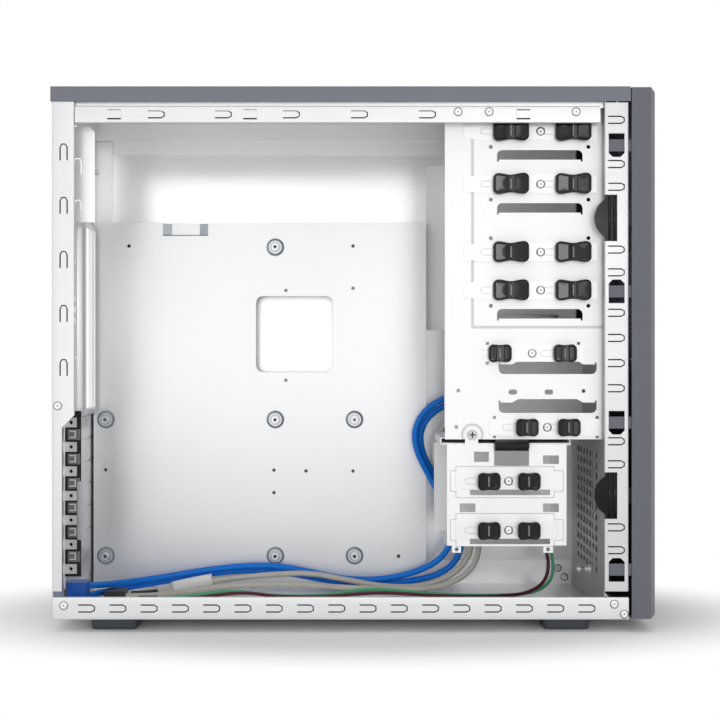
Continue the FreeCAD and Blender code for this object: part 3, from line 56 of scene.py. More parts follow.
def put(tree, kind, **inputs):
    """Adds a node. Small-letter keys are its settings, others its sockets by name or as _number."""
    made = tree.nodes.new(kind)
    for key, value in inputs.items():
        if key.islower():
            setattr(made, key, value)
    for key, value in inputs.items():
        if key.islower():
            continue
        socket = made.inputs[int(key[1:]) if key[1:].isdigit() else key.replace("_", " ")]
        if isinstance(value, bpy.types.NodeSocket):
            tree.links.new(value, socket)
        else:
            socket.default_value = value
    return made


def maths(tree, operation, *values):
    """The result of one sum on numbers or sockets."""
    sockets = {"_%d" % index: value for index, value in enumerate(values)}
    return put(tree, "ShaderNodeMath", operation=operation, **sockets).outputs[0]


def scaled(tree, value, by, onto):
    """A value multiplied by one number and added onto another."""
    return maths(tree, "MULTIPLY_ADD", value, by, onto)


def own_place(tree):
    """The place of a point in its piece's own coordinates."""
    return put(tree, "ShaderNodeTexCoord").outputs["Object"]


def noise(tree, place, **settings):
    """Cloudy noise over a place, from zero to one."""
    return put(tree, "ShaderNodeTexNoise", Vector=place, **settings).outputs["Fac"]


def raised(tree, shader, height, **settings):
    """Gives a shader the relief of a height."""
    bump = put(tree, "ShaderNodeBump", Height=height, **settings)
    tree.links.new(bump.outputs["Normal"], shader.inputs["Normal"])


def effect(name, inputs, outputs):
    """An empty node group with named value inputs and outputs, and its two end nodes."""
    group = bpy.data.node_groups.new(name, "ShaderNodeTree")
    for label, default in inputs.items():
        kind = {"float": "NodeSocketFloat", 3: "NodeSocketVector", 4: "NodeSocketColor"}[
            len(default) if isinstance(default, tuple) else "float"]
        group.interface.new_socket(label, in_out="INPUT", socket_type=kind).default_value = default
    for label, kind in outputs.items():
        group.interface.new_socket(label, in_out="OUTPUT", socket_type=kind)
    return group, group.nodes.new("NodeGroupInput"), group.nodes.new("NodeGroupOutput")


def finish_of(name):
    """A new material with its Principled shader."""
    material = bpy.data.materials.new(name)
    material.use_nodes = True
    return material, material.node_tree, material.node_tree.nodes["Principled BSDF"]


def rolled_zinc():
    """Cloudy zinc coat with a fine leathery grain: tone, roughness and height over the surface."""
    group, given, result = effect(
        "rolled zinc",
        {"Tone": (0.8, 0.8, 0.8, 1.0), "Cloud": 0.05, "Roughness": 0.4},
        {"Color": "NodeSocketColor", "Roughness": "NodeSocketFloat", "Height": "NodeSocketFloat"})
    place = own_place(group)
    cloud = noise(group, place, Scale=14.0, Detail=5.0, Roughness=0.6)
    spangle = put(group, "ShaderNodeTexVoronoi", Vector=place, Scale=420.0, Randomness=1.0)
    grain = noise(group, place, Scale=900.0, Detail=3.0)
    mottle = maths(group, "ADD", cloud, grain)
    centred = maths(group, "SUBTRACT", mottle, 1.0)
    depth = scaled(group, centred, by=given.outputs["Cloud"], onto=1.0)
    shade = put(group, "ShaderNodeVectorMath", operation="SCALE", _0=given.outputs["Tone"], Scale=depth)
    group.links.new(shade.outputs["Vector"], result.inputs["Color"])
    rough = scaled(group, centred, by=0.08, onto=given.outputs["Roughness"])
    group.links.new(rough, result.inputs["Roughness"])
    relief = scaled(group, spangle.outputs["Distance"], by=0.35, onto=grain)
    group.links.new(relief, result.inputs["Height"])
    return group


zinc_coat = rolled_zinc()


def zinc_steel(name, tone, cloud, roughness, metallic, relief=0.05):
    """Sheet steel with the rolled zinc coat."""
    material, tree, shader = finish_of(name)
    coat = put(tree, "ShaderNodeGroup", node_tree=zinc_coat, Tone=(*tone, 1.0), Cloud=cloud,
               Roughness=roughness)
    tree.links.new(coat.outputs["Color"], shader.inputs["Base Color"])
    tree.links.new(coat.outputs["Roughness"], shader.inputs["Roughness"])
    raised(tree, shader, coat.outputs["Height"], Strength=relief, Distance=0.0002)
    shader.inputs["Metallic"].default_value = metallic
    return material


def zone_mask():
    """Mask that is one inside a box between two corners and zero outside it."""
    group, given, result = effect("zone mask", {"Low": (0.0, 0.0, 0.0), "High": (0.0, 0.0, 0.0)},
                                  {"Mask": "NodeSocketFloat"})
    place = own_place(group)
    above = put(group, "ShaderNodeVectorMath", operation="SUBTRACT", _0=place, _1=given.outputs["Low"])
    below = put(group, "ShaderNodeVectorMath", operation="SUBTRACT", _0=given.outputs["High"], _1=place)
    room = put(group, "ShaderNodeVectorMath", operation="MINIMUM", _0=above.outputs[0], _1=below.outputs[0])
    axis = put(group, "ShaderNodeSeparateXYZ", Vector=room.outputs[0])
    flat = maths(group, "MINIMUM", axis.outputs["X"], axis.outputs["Y"])
    least = maths(group, "MINIMUM", flat, axis.outputs["Z"])
    inside = maths(group, "GREATER_THAN", least, 0.0)
    group.links.new(inside, result.inputs["Mask"])
    return group


zone = zone_mask()


def tint(material, mask, tone):
    """Mixes another tone into a finish where a mask is one."""
    tree = material.node_tree
    target = tree.nodes["Principled BSDF"].inputs["Base Color"]
    given = target.links[0].from_socket if target.links else tuple(target.default_value)
    mixed = put(tree, "ShaderNodeMix", data_type="RGBA", _0=mask, _6=given, _7=(*tone, 1.0))
    tree.links.new(mixed.outputs[2], target)


def shade_zones(material, zones, tone):
    """Gives a finish another tone inside some boxes."""
    for low, high in zones:
        mask = put(material.node_tree, "ShaderNodeGroup", node_tree=zone, Low=low, High=high)
        tint(material, mask.outputs["Mask"], tone)


def merged_smooth(name, angle):
    """Modifier tree that joins loose triangles and shades smooth between edges under an angle."""
    group = bpy.data.node_groups.new(name, "GeometryNodeTree")
    group.interface.new_socket("Geometry", in_out="INPUT", socket_type="NodeSocketGeometry")
    group.interface.new_socket("Geometry", in_out="OUTPUT", socket_type="NodeSocketGeometry")
    given, result = group.nodes.new("NodeGroupInput"), group.nodes.new("NodeGroupOutput")
    merged = put(group, "GeometryNodeMergeByDistance", Geometry=given.outputs[0], Distance=1e-6)
    faces = put(group, "GeometryNodeSetShadeSmooth", domain="FACE", Geometry=merged.outputs[0])
    bend = put(group, "GeometryNodeInputMeshEdgeAngle")
    soft = put(group, "FunctionNodeCompare", operation="LESS_THAN", _0=bend.outputs["Unsigned Angle"],
               _1=angle)
    edges = put(group, "GeometryNodeSetShadeSmooth", domain="EDGE", Geometry=faces.outputs[0],
                Shade_Smooth=soft.outputs[0])
    group.links.new(edges.outputs[0], result.inputs[0])
    return group


ROUND_ANGLE = math.radians(32)
round_faces = merged_smooth("round faces", ROUND_ANGLE)


def dress(names, material, edge=0.0, segments=2, smooth=round_faces):
    """Gives CAD nodes a finish, smooth round faces and, where asked, softened edges."""
    for name in names:
        piece = node[name]
        piece.data.materials.clear()
        piece.data.materials.append(material)
        piece.modifiers.new("merge", "NODES").node_group = smooth
        if edge:
            soft = piece.modifiers.new("edge", "BEVEL")
            soft.width = edge
            soft.segments = segments
            soft.limit_method = "ANGLE"
            soft.angle_limit = ROUND_ANGLE
            soft.harden_normals = True


# Painted shade for the zinc sheets: the outer faces of the rails are painted darker than the rest of each
# sheet, and the hem face seen through the slits is painted near black.
HEM_ZONE = ((-0.2450, -0.0928, 0.0105), (0.2220, -0.0922, 0.4250))
RAIL_ZONE = ((-0.2500, -0.0965, 0.0000), (0.2500, -0.0938, 0.4400))
PAINTED_GAP_SHADE = (0.012, 0.012, 0.013)
LOWER_RAIL_PAINTED_SHADE = (0.75, 0.755, 0.76)
pan_zinc = zinc_steel("pan zinc", tone=(0.92, 0.925, 0.93), cloud=0.04, roughness=0.33, metallic=0.4,
                      relief=0.01)
shade_zones(pan_zinc, [RAIL_ZONE], LOWER_RAIL_PAINTED_SHADE)
shade_zones(pan_zinc, [HEM_ZONE], PAINTED_GAP_SHADE)
dress(["bottom_pan"], pan_zinc)

# Rear panel: zinc-coated sheet with side flanges, power supply and socket openings, fan vent
# and a ledge for the slot screws. The slot covers are stamped strips hung on that ledge.
PLAIN_SHEET = {"tone": (0.85, 0.855, 0.86), "cloud": 0.06, "roughness": 0.36, "metallic": 0.5}
# Painted shade on the rear panel: a darker rail face, and the hem behind the slits and the face of the slot
# ledge painted near black. On that shaded ledge each tab is painted on as a dim grey patch with a pale U
# line.
LEDGE_ZONE = ((-0.2410, -0.0505, 0.030), (-0.2200, -0.0470, 0.178))
RAIL_PAINTED_SHADE = (0.66, 0.665, 0.67)
rear_zinc = zinc_steel("rear zinc", **PLAIN_SHEET)
shade_zones(rear_zinc, [RAIL_ZONE], RAIL_PAINTED_SHADE)
shade_zones(rear_zinc, [HEM_ZONE, LEDGE_ZONE], PAINTED_GAP_SHADE)
LEDGE_TABS = (0.1562, 0.1359, 0.1156, 0.0953, 0.0750, 0.0546)
PAINTED_LEDGE_TABS = (((-0.2385, 0.0044), (-0.2282, 0.0044), (0.16, 0.16, 0.17)),
              ((-0.2372, 0.0028), (-0.2318, 0.0034), (0.62, 0.62, 0.63)),
              ((-0.2372, 0.0017), (-0.2330, 0.0023), (0.16, 0.16, 0.17)))
for (x0, below), (x1, above), tone in PAINTED_LEDGE_TABS:
    tabs = [((x0, LEDGE_ZONE[0][1], z - below), (x1, LEDGE_ZONE[1][1], z + above)) for z in LEDGE_TABS]
    shade_zones(rear_zinc, tabs, tone)
dress(["rear_panel"], rear_zinc)
slot_zinc = zinc_steel("slot steel", tone=(0.66, 0.67, 0.68), cloud=0.25, roughness=0.3, metallic=0.8)
dress(["slot_covers"], slot_zinc)

# Roof panel, front panel and motherboard tray: zinc-coated sheets, the tray with drawn bosses
# for the board screws. They are riveted and hooked to the pan and the rear panel.


def ring_mask():
    """Mask that is one between two distances from a line along Y, given by one of its points."""
    group, given, result = effect("ring mask", {"Centre": (0.0, 0.0, 0.0), "Inner": 0.0, "Outer": 0.01},
                                  {"Mask": "NodeSocketFloat"})
    place = own_place(group)
    off = put(group, "ShaderNodeVectorMath", operation="SUBTRACT", _0=place, _1=given.outputs["Centre"])
    level = put(group, "ShaderNodeVectorMath", operation="MULTIPLY", _0=off.outputs[0], _1=(1.0, 0.0, 1.0))
    away = put(group, "ShaderNodeVectorMath", operation="LENGTH", _0=level.outputs[0]).outputs["Value"]
    past = maths(group, "GREATER_THAN", away, given.outputs["Inner"])
    within = maths(group, "LESS_THAN", away, given.outputs["Outer"])
    both = maths(group, "MULTIPLY", past, within)
    group.links.new(both, result.inputs["Mask"])
    return group


ring = ring_mask()


def shade_rings(material, centres, reach, tone):
    """Gives a finish another tone in a ring round each of some places on X and Z."""
    tree = material.node_tree
    for x, z in centres:
        mask = put(tree, "ShaderNodeGroup", node_tree=ring, Centre=(x, 0.0, z), Inner=reach[0],
                   Outer=reach[1])
        tint(material, mask.outputs["Mask"], tone)


# Painted shade on the roof: a darker rail face and a near-black hem behind the slits.
roof_zinc = zinc_steel("roof zinc", **PLAIN_SHEET)
shade_zones(roof_zinc, [RAIL_ZONE], RAIL_PAINTED_SHADE)
shade_zones(roof_zinc, [HEM_ZONE], PAINTED_GAP_SHADE)
dress(["roof_panel"], roof_zinc)
# Painted shade on the front panel: its inner face behind the intake holes is painted dark, its rail face
# darker, and its hem and the inside of its far flange near black.
INTAKE_ZONE = ((0.2005, -0.0930, 0.0100), (0.2025, 0.0930, 0.4360))
INTAKE_PAINTED_SHADE = (0.30, 0.31, 0.32)
FRONT_RAIL_PAINTED_SHADE = (0.55, 0.555, 0.56)
FAR_FLANGE_ZONE = ((0.2026, 0.0900, 0.0100), (0.2215, 0.0943, 0.4300))
front_zinc = zinc_steel("front zinc", **PLAIN_SHEET)
shade_zones(front_zinc, [INTAKE_ZONE], INTAKE_PAINTED_SHADE)
shade_zones(front_zinc, [RAIL_ZONE], FRONT_RAIL_PAINTED_SHADE)
shade_zones(front_zinc, [HEM_ZONE, FAR_FLANGE_ZONE], PAINTED_GAP_SHADE)
dress(["front_panel"], front_zinc)
# Painted shade: darker rings on the slopes and on the steps of the drawn bosses.
BOSSES = [(-0.2275, 0.0395), (-0.2275, 0.1640), (-0.0726, 0.0395), (-0.0726, 0.1640), (-0.0726, 0.3215),
          (-0.0002, 0.0395), (-0.0002, 0.1640)]
BOSS_SLOPE = (0.0060, 0.0083)
BOSS_SLOPE_PAINTED_SHADE = (0.36, 0.40, 0.44)
BOSS_STEP = (0.0034, 0.0052)
BOSS_STEP_PAINTED_SHADE = (0.48, 0.51, 0.54)
# Painted shade: a dark disc for each of two punched holes in the tray.
TRAY_PUNCHES = [(-0.0739, 0.1177), (-0.0739, 0.0971)]
PUNCH_REACH = (-0.0001, 0.0016)
PUNCH_PAINTED_SHADE = (0.05, 0.05, 0.055)
# Painted shade: darker slopes at both ends of the bridge.
BRIDGE_SLOPES = [((-0.1756, 0.0725, 0.3325), (-0.1674, 0.0790, 0.3435)),
                 ((-0.1422, 0.0725, 0.3325), (-0.1340, 0.0790, 0.3435))]
BRIDGE_PAINTED_SHADE = (0.52, 0.58, 0.62)
FOLD_ANGLE = math.radians(20)
tray_zinc = zinc_steel("tray steel", tone=(0.745, 0.75, 0.755), cloud=0.04, roughness=0.3, metallic=0.4,
                       relief=0.02)
shade_rings(tray_zinc, BOSSES, BOSS_SLOPE, BOSS_SLOPE_PAINTED_SHADE)
shade_rings(tray_zinc, BOSSES, BOSS_STEP, BOSS_STEP_PAINTED_SHADE)
shade_rings(tray_zinc, TRAY_PUNCHES, PUNCH_REACH, PUNCH_PAINTED_SHADE)
shade_zones(tray_zinc, BRIDGE_SLOPES, BRIDGE_PAINTED_SHADE)
flat_folds = merged_smooth("flat folds", FOLD_ANGLE)
dress(["motherboard_tray"], tray_zinc, smooth=flat_folds)

# Rail rivets: zinc dome rivets, each with a small punched middle, set through the rails of the open
# side and the far flange of the pan.
TURNS = 40


def round_turn(count):
    """Even angles round a full turn, without the closing one."""
    return np.linspace(0, 2 * np.pi, count, endpoint=False)


def turned(profile):
    """A profile of (radius, height) turned about an axis: each row is one circle of the profile."""
    radius, height = np.array(profile, float).T
    angle = round_turn(TURNS)
    return np.stack([np.outer(radius, np.cos(angle)), np.outer(radius, np.sin(angle)),
                     np.repeat(height[:, None], TURNS, 1)], -1)


def grid_mesh(name, grids, wrap=True):
    """One mesh of several point grids. Rows run along the first parameter; wrap closes the second."""
    points, faces, start = [], [], 0
    for grid in grids:
        rows, columns = grid.shape[:2]
        index = start + np.arange(rows * columns).reshape(rows, columns)
        right = np.roll(index, -1, 1) if wrap else index[:, 1:]
        left = index if wrap else index[:, :-1]
        faces.append(np.stack([left[:-1], right[:-1], right[1:], left[1:]], -1).reshape(-1, 4))
        points.append(grid.reshape(-1, 3))
        start += rows * columns
    mesh = bpy.data.meshes.new(name)
    mesh.from_pydata(np.concatenate(points).tolist(), [], np.concatenate(faces).tolist())
    mesh.shade_smooth()
    return mesh


def sealed(mesh):
    """Merges the doubled points at poles and seams and turns every face outwards."""
    shell = bmesh.new()
    shell.from_mesh(mesh)
    bmesh.ops.remove_doubles(shell, verts=shell.verts, dist=1e-7)
    bmesh.ops.recalc_face_normals(shell, faces=shell.faces)
    shell.to_mesh(mesh)
    shell.free()
    return mesh


def added(name, data):
    """A new object in the scene."""
    made = bpy.data.objects.new(name, data)
    bpy.context.scene.collection.objects.link(made)
    return made


def piece_of(name, grids, material, body, slot, folds=None, **masks):
    """A new piece of closed grids on a body, with its finish. Masks are stored on it by name, one value
    for each point, and folds is the modifier tree that keeps its folds clean."""
    mesh = grid_mesh(name, grids)
    for label, values in masks.items():
        mesh.attributes.new(label, "FLOAT", "POINT").data.foreach_set("value", values)
    made = added(name, sealed(mesh))
    mesh.materials.append(material)
    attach(made, body)
    if folds:
        made.modifiers.new("folds", "NODES").node_group = folds
    return made


def facing_left(grid, x, y, z):
    """Turns a grid about +Z into one that faces -Y, at a place in metres."""
    return np.stack([grid[..., 0] + x, y - grid[..., 2], grid[..., 1] + z], -1)


def tint_by(material, attribute, tone):
    """Mixes another tone into a finish where a mask stored on the piece is one."""
    mask = put(material.node_tree, "ShaderNodeAttribute", attribute_name=attribute)
    tint(material, mask.outputs["Fac"], tone)


def rim_values(rows, grids):
    """A mask for turned grids: one value for each circle of the profile."""
    return np.tile(np.repeat(rows, TURNS), len(grids))


RIVET = [(0.0, 0.0009), (0.0006, 0.0009), (0.0008, 0.0013), (0.0018, 0.0013), (0.0026, 0.0011),
         (0.0029, 0.0006), (0.0036, 0.0003), (0.0036, -0.0002), (0.0, -0.0002)]
# Painted shade: the rim mask paints the punched middle and the outer flank of each rivet darker.
RIVET_SHADE_ROWS = (1.0, 1.0, 0.0, 0.0, 0.0, 1.0, 1.0, 1.0, 1.0)
RAIL_RIVETS = [(-0.2329, 0.0213), (0.2088, 0.0225), (0.2168, 0.0144), (0.0835, 0.4175), (0.1084, 0.4175),
               (0.1782, 0.4175), (-0.2378, 0.1815)]
FAR_RIVETS = [(0.1885, 0.0253), (0.1945, 0.0170)]
RIM_PAINTED_SHADE = (0.36, 0.38, 0.40)
SHEET = 0.001
rail_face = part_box("bottom_pan")[0].y
far_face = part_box("bottom_pan")[1].y - SHEET
rivet_zinc = zinc_steel("rivet zinc", tone=(0.86, 0.86, 0.87), cloud=0.08, roughness=0.3, metallic=0.5)
tint_by(rivet_zinc, "rim", RIM_PAINTED_SHADE)
rivet_grid = turned(RIVET)
rivets = [facing_left(rivet_grid, x, rail_face, z) for x, z in RAIL_RIVETS]
rivets += [facing_left(rivet_grid, x, far_face, z) for x, z in FAR_RIVETS]
piece_of("rail_rivets", rivets, rivet_zinc, "chassis", "zinc_steel", rim=rim_values(RIVET_SHADE_ROWS, rivets))

# Bezel stud: a turned steel stud with a waist, pressed into the front panel; it stands into the
# box beside the intake holes and steadies the lower edge of the bezel.


def facing_rear(grid, x, y, z):
    """Turns a grid about +Z into one that faces -X, at a place in metres."""
    return np.stack([x - grid[..., 2], y - grid[..., 0], grid[..., 1] + z], -1)


STUD = [(0.0, 0.0115), (0.0017, 0.0115), (0.0022, 0.0110), (0.0022, 0.0085), (0.0015, 0.0080),
        (0.0015, 0.0055), (0.0024, 0.0050), (0.0024, 0.0012), (0.0040, 0.0010), (0.0040, -0.0002),
        (0.0, -0.0002)]
# Painted shade: the rim mask paints the waist of the stud darker.
STUD_WAIST_SHADE = (0.0, 0.0, 0.0, 0.0, 1.0, 1.0, 0.0, 0.0, 0.0, 0.0, 0.0)
STUD_PLACE = (-0.021, 0.0406)
studs = [facing_rear(turned(STUD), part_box("front_panel")[0].x, *STUD_PLACE)]
waist = rim_values(STUD_WAIST_SHADE, studs)
piece_of("bezel_stud", studs, rivet_zinc, "chassis", "zinc_steel", folds=round_faces, rim=waist)

# Drive bay cage: left and right plates and a shelf of bright zinc sheet. The left plate has
# lanced ledges that carry the drives, and the shelf hangs the runners of the drive cage.
BRIGHT_SHEET = {"tone": (0.90, 0.905, 0.91), "cloud": 0.03, "roughness": 0.45, "metallic": 0.2,
                "relief": 0.01}
bay_zinc = zinc_steel("bay steel", **BRIGHT_SHEET)
dress(["bay_cage_right_plate", "bay_cage_shelf"], bay_zinc)
# Painted shade on the left plate: the groove round its raised field and a ring round the cage screw lug are
# painted darker.
GROOVE_ZONES = [((0.0950, -0.0815, 0.2440), (0.0972, -0.0800, 0.4360)),
                ((0.0972, -0.0815, 0.2439), (0.2010, -0.0800, 0.2461))]
plate_zinc = zinc_steel("plate steel", **BRIGHT_SHEET)
GROOVE_PAINTED_SHADE = (0.60, 0.63, 0.65)
SCREW_PLACE = (0.0959, 0.1578)
SCREW_RING = (0.0072, 0.0092)
shade_zones(plate_zinc, GROOVE_ZONES, GROOVE_PAINTED_SHADE)
shade_rings(plate_zinc, [SCREW_PLACE], SCREW_RING, GROOVE_PAINTED_SHADE)
dress(["bay_cage_left_plate"], plate_zinc)

# Hard drive cage: a folded U with a top plate that slides on the runners, held by one screw.
# Two raised pads on its left face carry the strips; a band of painted shade darkens their drawn edges.
CAGE_PADS = [(0.0830, 0.1620, 0.1070, 0.1315), (0.0830, 0.1620, 0.0674, 0.0935),
             (0.0786, 0.1694, 0.1122, 0.1282), (0.0786, 0.1694, 0.0724, 0.0884)]
PAD_EDGE = 0.0007
PAD_EDGE_PAINTED_SHADE = (0.56, 0.59, 0.62)
pad_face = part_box("bay_cage_left_plate")[0].y
cage_zinc = zinc_steel("cage steel", **BRIGHT_SHEET)
# Painted shade: a band round each pad is painted darker, then the pad itself back to the sheet's tone.
for grown, tone in ((PAD_EDGE, PAD_EDGE_PAINTED_SHADE), (0.0, BRIGHT_SHEET["tone"])):
    pads = [((x0 - grown, pad_face - 2 * SHEET, z0 - grown), (x1 + grown, pad_face + SHEET / 2, z1 + grown))
            for x0, x1, z0, z1 in CAGE_PADS]
    shade_zones(cage_zinc, pads, tone)
dress(["hdd_cage"], cage_zinc)
dress(["hdd_cage_top_plate"], bay_zinc)

# Locking strips: bright stamped strips, one under each pair of rockers, with the half-round ridges
# that the rockers tilt on. Each is held by one rivet in its middle.
strip_names = sorted(name for name in node if name.endswith("_strip"))
strip_zinc = zinc_steel("strip steel", tone=(0.77, 0.775, 0.79), cloud=0.03, roughness=0.38, metallic=0.35,
                        relief=0.004)
dress(strip_names, strip_zinc)
RIVET_X = {"large": 0.1513, "upper": 0.1444, "lower": 0.1567, "drive": 0.1252}


def strip_rivets(name, strips, body):
    """One rivet in the middle of each strip, on its outer face."""
    grids = []
    for strip in strips:
        low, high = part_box(strip)
        x = RIVET_X[strip.split("_")[0]]
        grids.append(facing_left(rivet_grid, x, high.y - SHEET, (low.z + high.z) / 2))
    piece_of(name, grids, rivet_zinc, body, "strip_steel", rim=rim_values(RIVET_SHADE_ROWS, grids))


strip_rivets("bay_strip_rivets", [name for name in strip_names if "drive" not in name], "chassis")
strip_rivets("cage_strip_rivets", [name for name in strip_names if "drive" in name], "hdd_cage")

# Slot screw threads and keeper: each slot cover is screwed into a drawn thread in the ledge, and a
# small pressed plate on the ledge keeps two covers in place. Both are plain zinc-coated steel.


def rounded(angle, reach, bend):
    """A box with rounded corners at some angles: the straight reach of each quarter plus a round bend."""
    turn = np.stack([np.cos(angle), np.sin(angle)], -1)
    return np.sign(turn) * reach + bend * turn


def flat_plate(low, high, corner, near, far):
    """A closed flat plate as (through, along, up): a box with rounded corners, carried from the middle of
    one face to its edge, across the thickness and back to the middle of the other face."""
    reach = (np.array(high) - np.array(low)) / 2 - corner
    middle = (np.array(high) + np.array(low)) / 2
    edge = rounded(round_turn(TURNS), reach, corner)
    grown = np.array([0.0, 1.0, 1.0, 0.0])[:, None, None]
    through = np.array([near, near, far, far])[:, None, None] + 0 * edge[None, :, :1]
    return np.concatenate([through, middle + grown * edge], -1)


SLOT_THREAD = [(0.0, -0.0040), (0.0015, -0.0040), (0.0016, 0.0004), (0.0021, 0.0003), (0.0021, -0.0050),
               (0.0, -0.0050)]
# Painted shade: the bottom of each thread's bore is painted near black through the rim mask, fading up its
# wall.
SLOT_BORE_PAINTED_SHADE = (1.0, 1.0, 0.0, 0.0, 0.0, 0.0)
SLOT_SCREW_X = -0.23575
SLOT_SCREW_TOP = 0.1664
SLOT_PITCH = 0.02032
SLOT_COUNT = 7
tab_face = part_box("slot_covers")[0].y
ledge_face = tab_face + SHEET
thread_zinc = zinc_steel("thread steel", tone=(0.70, 0.70, 0.71), cloud=0.1, roughness=0.3, metallic=0.6)
tint_by(thread_zinc, "rim", PAINTED_GAP_SHADE)
thread_grid = turned(SLOT_THREAD)
threads = [facing_left(thread_grid, SLOT_SCREW_X, tab_face, SLOT_SCREW_TOP - SLOT_PITCH * index)
           for index in range(SLOT_COUNT)]
bore_shade = rim_values(SLOT_BORE_PAINTED_SHADE, threads)
piece_of("slot_threads", threads, thread_zinc, "chassis", "zinc_steel", rim=bore_shade)
KEEPER_LOW = (-0.2306, 0.0685)
KEEPER_HIGH = (-0.2240, 0.1175)
KEEPER_CORNER = 0.0022
KEEPER_THICK = 0.0012
keeper_zinc = zinc_steel("keeper steel", tone=(0.40, 0.39, 0.42), cloud=0.3, roughness=0.3, metallic=0.7,
                         relief=0.01)
keeper_grid = flat_plate(KEEPER_LOW, KEEPER_HIGH, KEEPER_CORNER, ledge_face - KEEPER_THICK, ledge_face)
keepers = [keeper_grid[..., [1, 0, 2]]]
piece_of("slot_keeper", keepers, keeper_zinc, "chassis", "zinc_steel", folds=flat_folds)

# Rockers and cage handle: black gloss mouldings. Each rocker is a shallow V of two finger
# pads; the handle is clipped on the edge of the cage's top plate.


def moulding_skin():
    """Faint mould texture and finger marks: roughness and height over the surface."""
    group, given, result = effect(
        "moulding skin", {"Roughness": 0.2, "Marks": 0.1, "Scale": 60.0},
        {"Roughness": "NodeSocketFloat", "Height": "NodeSocketFloat"})
    place = own_place(group)
    marks = noise(group, place, Scale=given.outputs["Scale"], Detail=4.0)
    grain = noise(group, place, Scale=2600.0, Detail=2.0)
    centred = maths(group, "SUBTRACT", marks, 0.5)
    rough = scaled(group, centred, by=given.outputs["Marks"], onto=given.outputs["Roughness"])
    group.links.new(rough, result.inputs["Roughness"])
    group.links.new(grain, result.inputs["Height"])
    return group


mould_skin = moulding_skin()


def moulded(name, colour, roughness, marks, relief, gloss=0.5):
    """Moulded plastic with the faint skin."""
    material, tree, shader = finish_of(name)
    skin = put(tree, "ShaderNodeGroup", node_tree=mould_skin, Roughness=roughness, Marks=marks)
    tree.links.new(skin.outputs["Roughness"], shader.inputs["Roughness"])
    raised(tree, shader, skin.outputs["Height"], Strength=relief, Distance=0.0002)
    shader.inputs["Base Color"].default_value = (*colour, 1.0)
    shader.inputs["Specular IOR Level"].default_value = gloss
    return material


BLACK_GLOSS = {"colour": (0.003, 0.003, 0.004), "roughness": 0.08, "marks": 0.08, "relief": 0.01,
               "gloss": 0.3}
SLIT_TONE = (0.62, 0.63, 0.66)
rocker_black = moulded("rocker black", **BLACK_GLOSS)
tint_by(rocker_black, "slit", SLIT_TONE)
ROCKER_TILT = math.radians(14)
ROCKER_TOP = 0.0054
ROCKER_THICK = 0.005
ROCKER_CORNER = 0.0042
ROCKER_EDGE = 0.0008
ROCKER_RIM = (0.0010, 0.0016)
ROCKER_DISH = (0.0008, 0.0002, 0.004)
ROCKER_BAR = 0.0018
SLIT_HALF = 0.0006
SLIT_SHARE = 0.62
SLIT_DEPTH = 0.0028
RIDGE_HEIGHT = 0.0008
RIDGE_ROOM = 0.0017
PIN_HALF = (0.0015, 0.0020)
PIN_ENDS = (0.0010, -0.0035)
PIN_INSET = 0.0045
WAIST_REACH = 0.7
SLIT_ROWS = (-1.3, -1.1, -0.9, 0.0, 0.9, 1.1, 1.3)
WING_ROWS = 28
OVER_COLUMNS = 37
UNDER_COLUMNS = 9


def ease(value, start, end):
    """Smooth step from zero at start to one at end."""
    share = np.clip((value - start) / (end - start), 0, 1)
    return share * share * (3 - 2 * share)


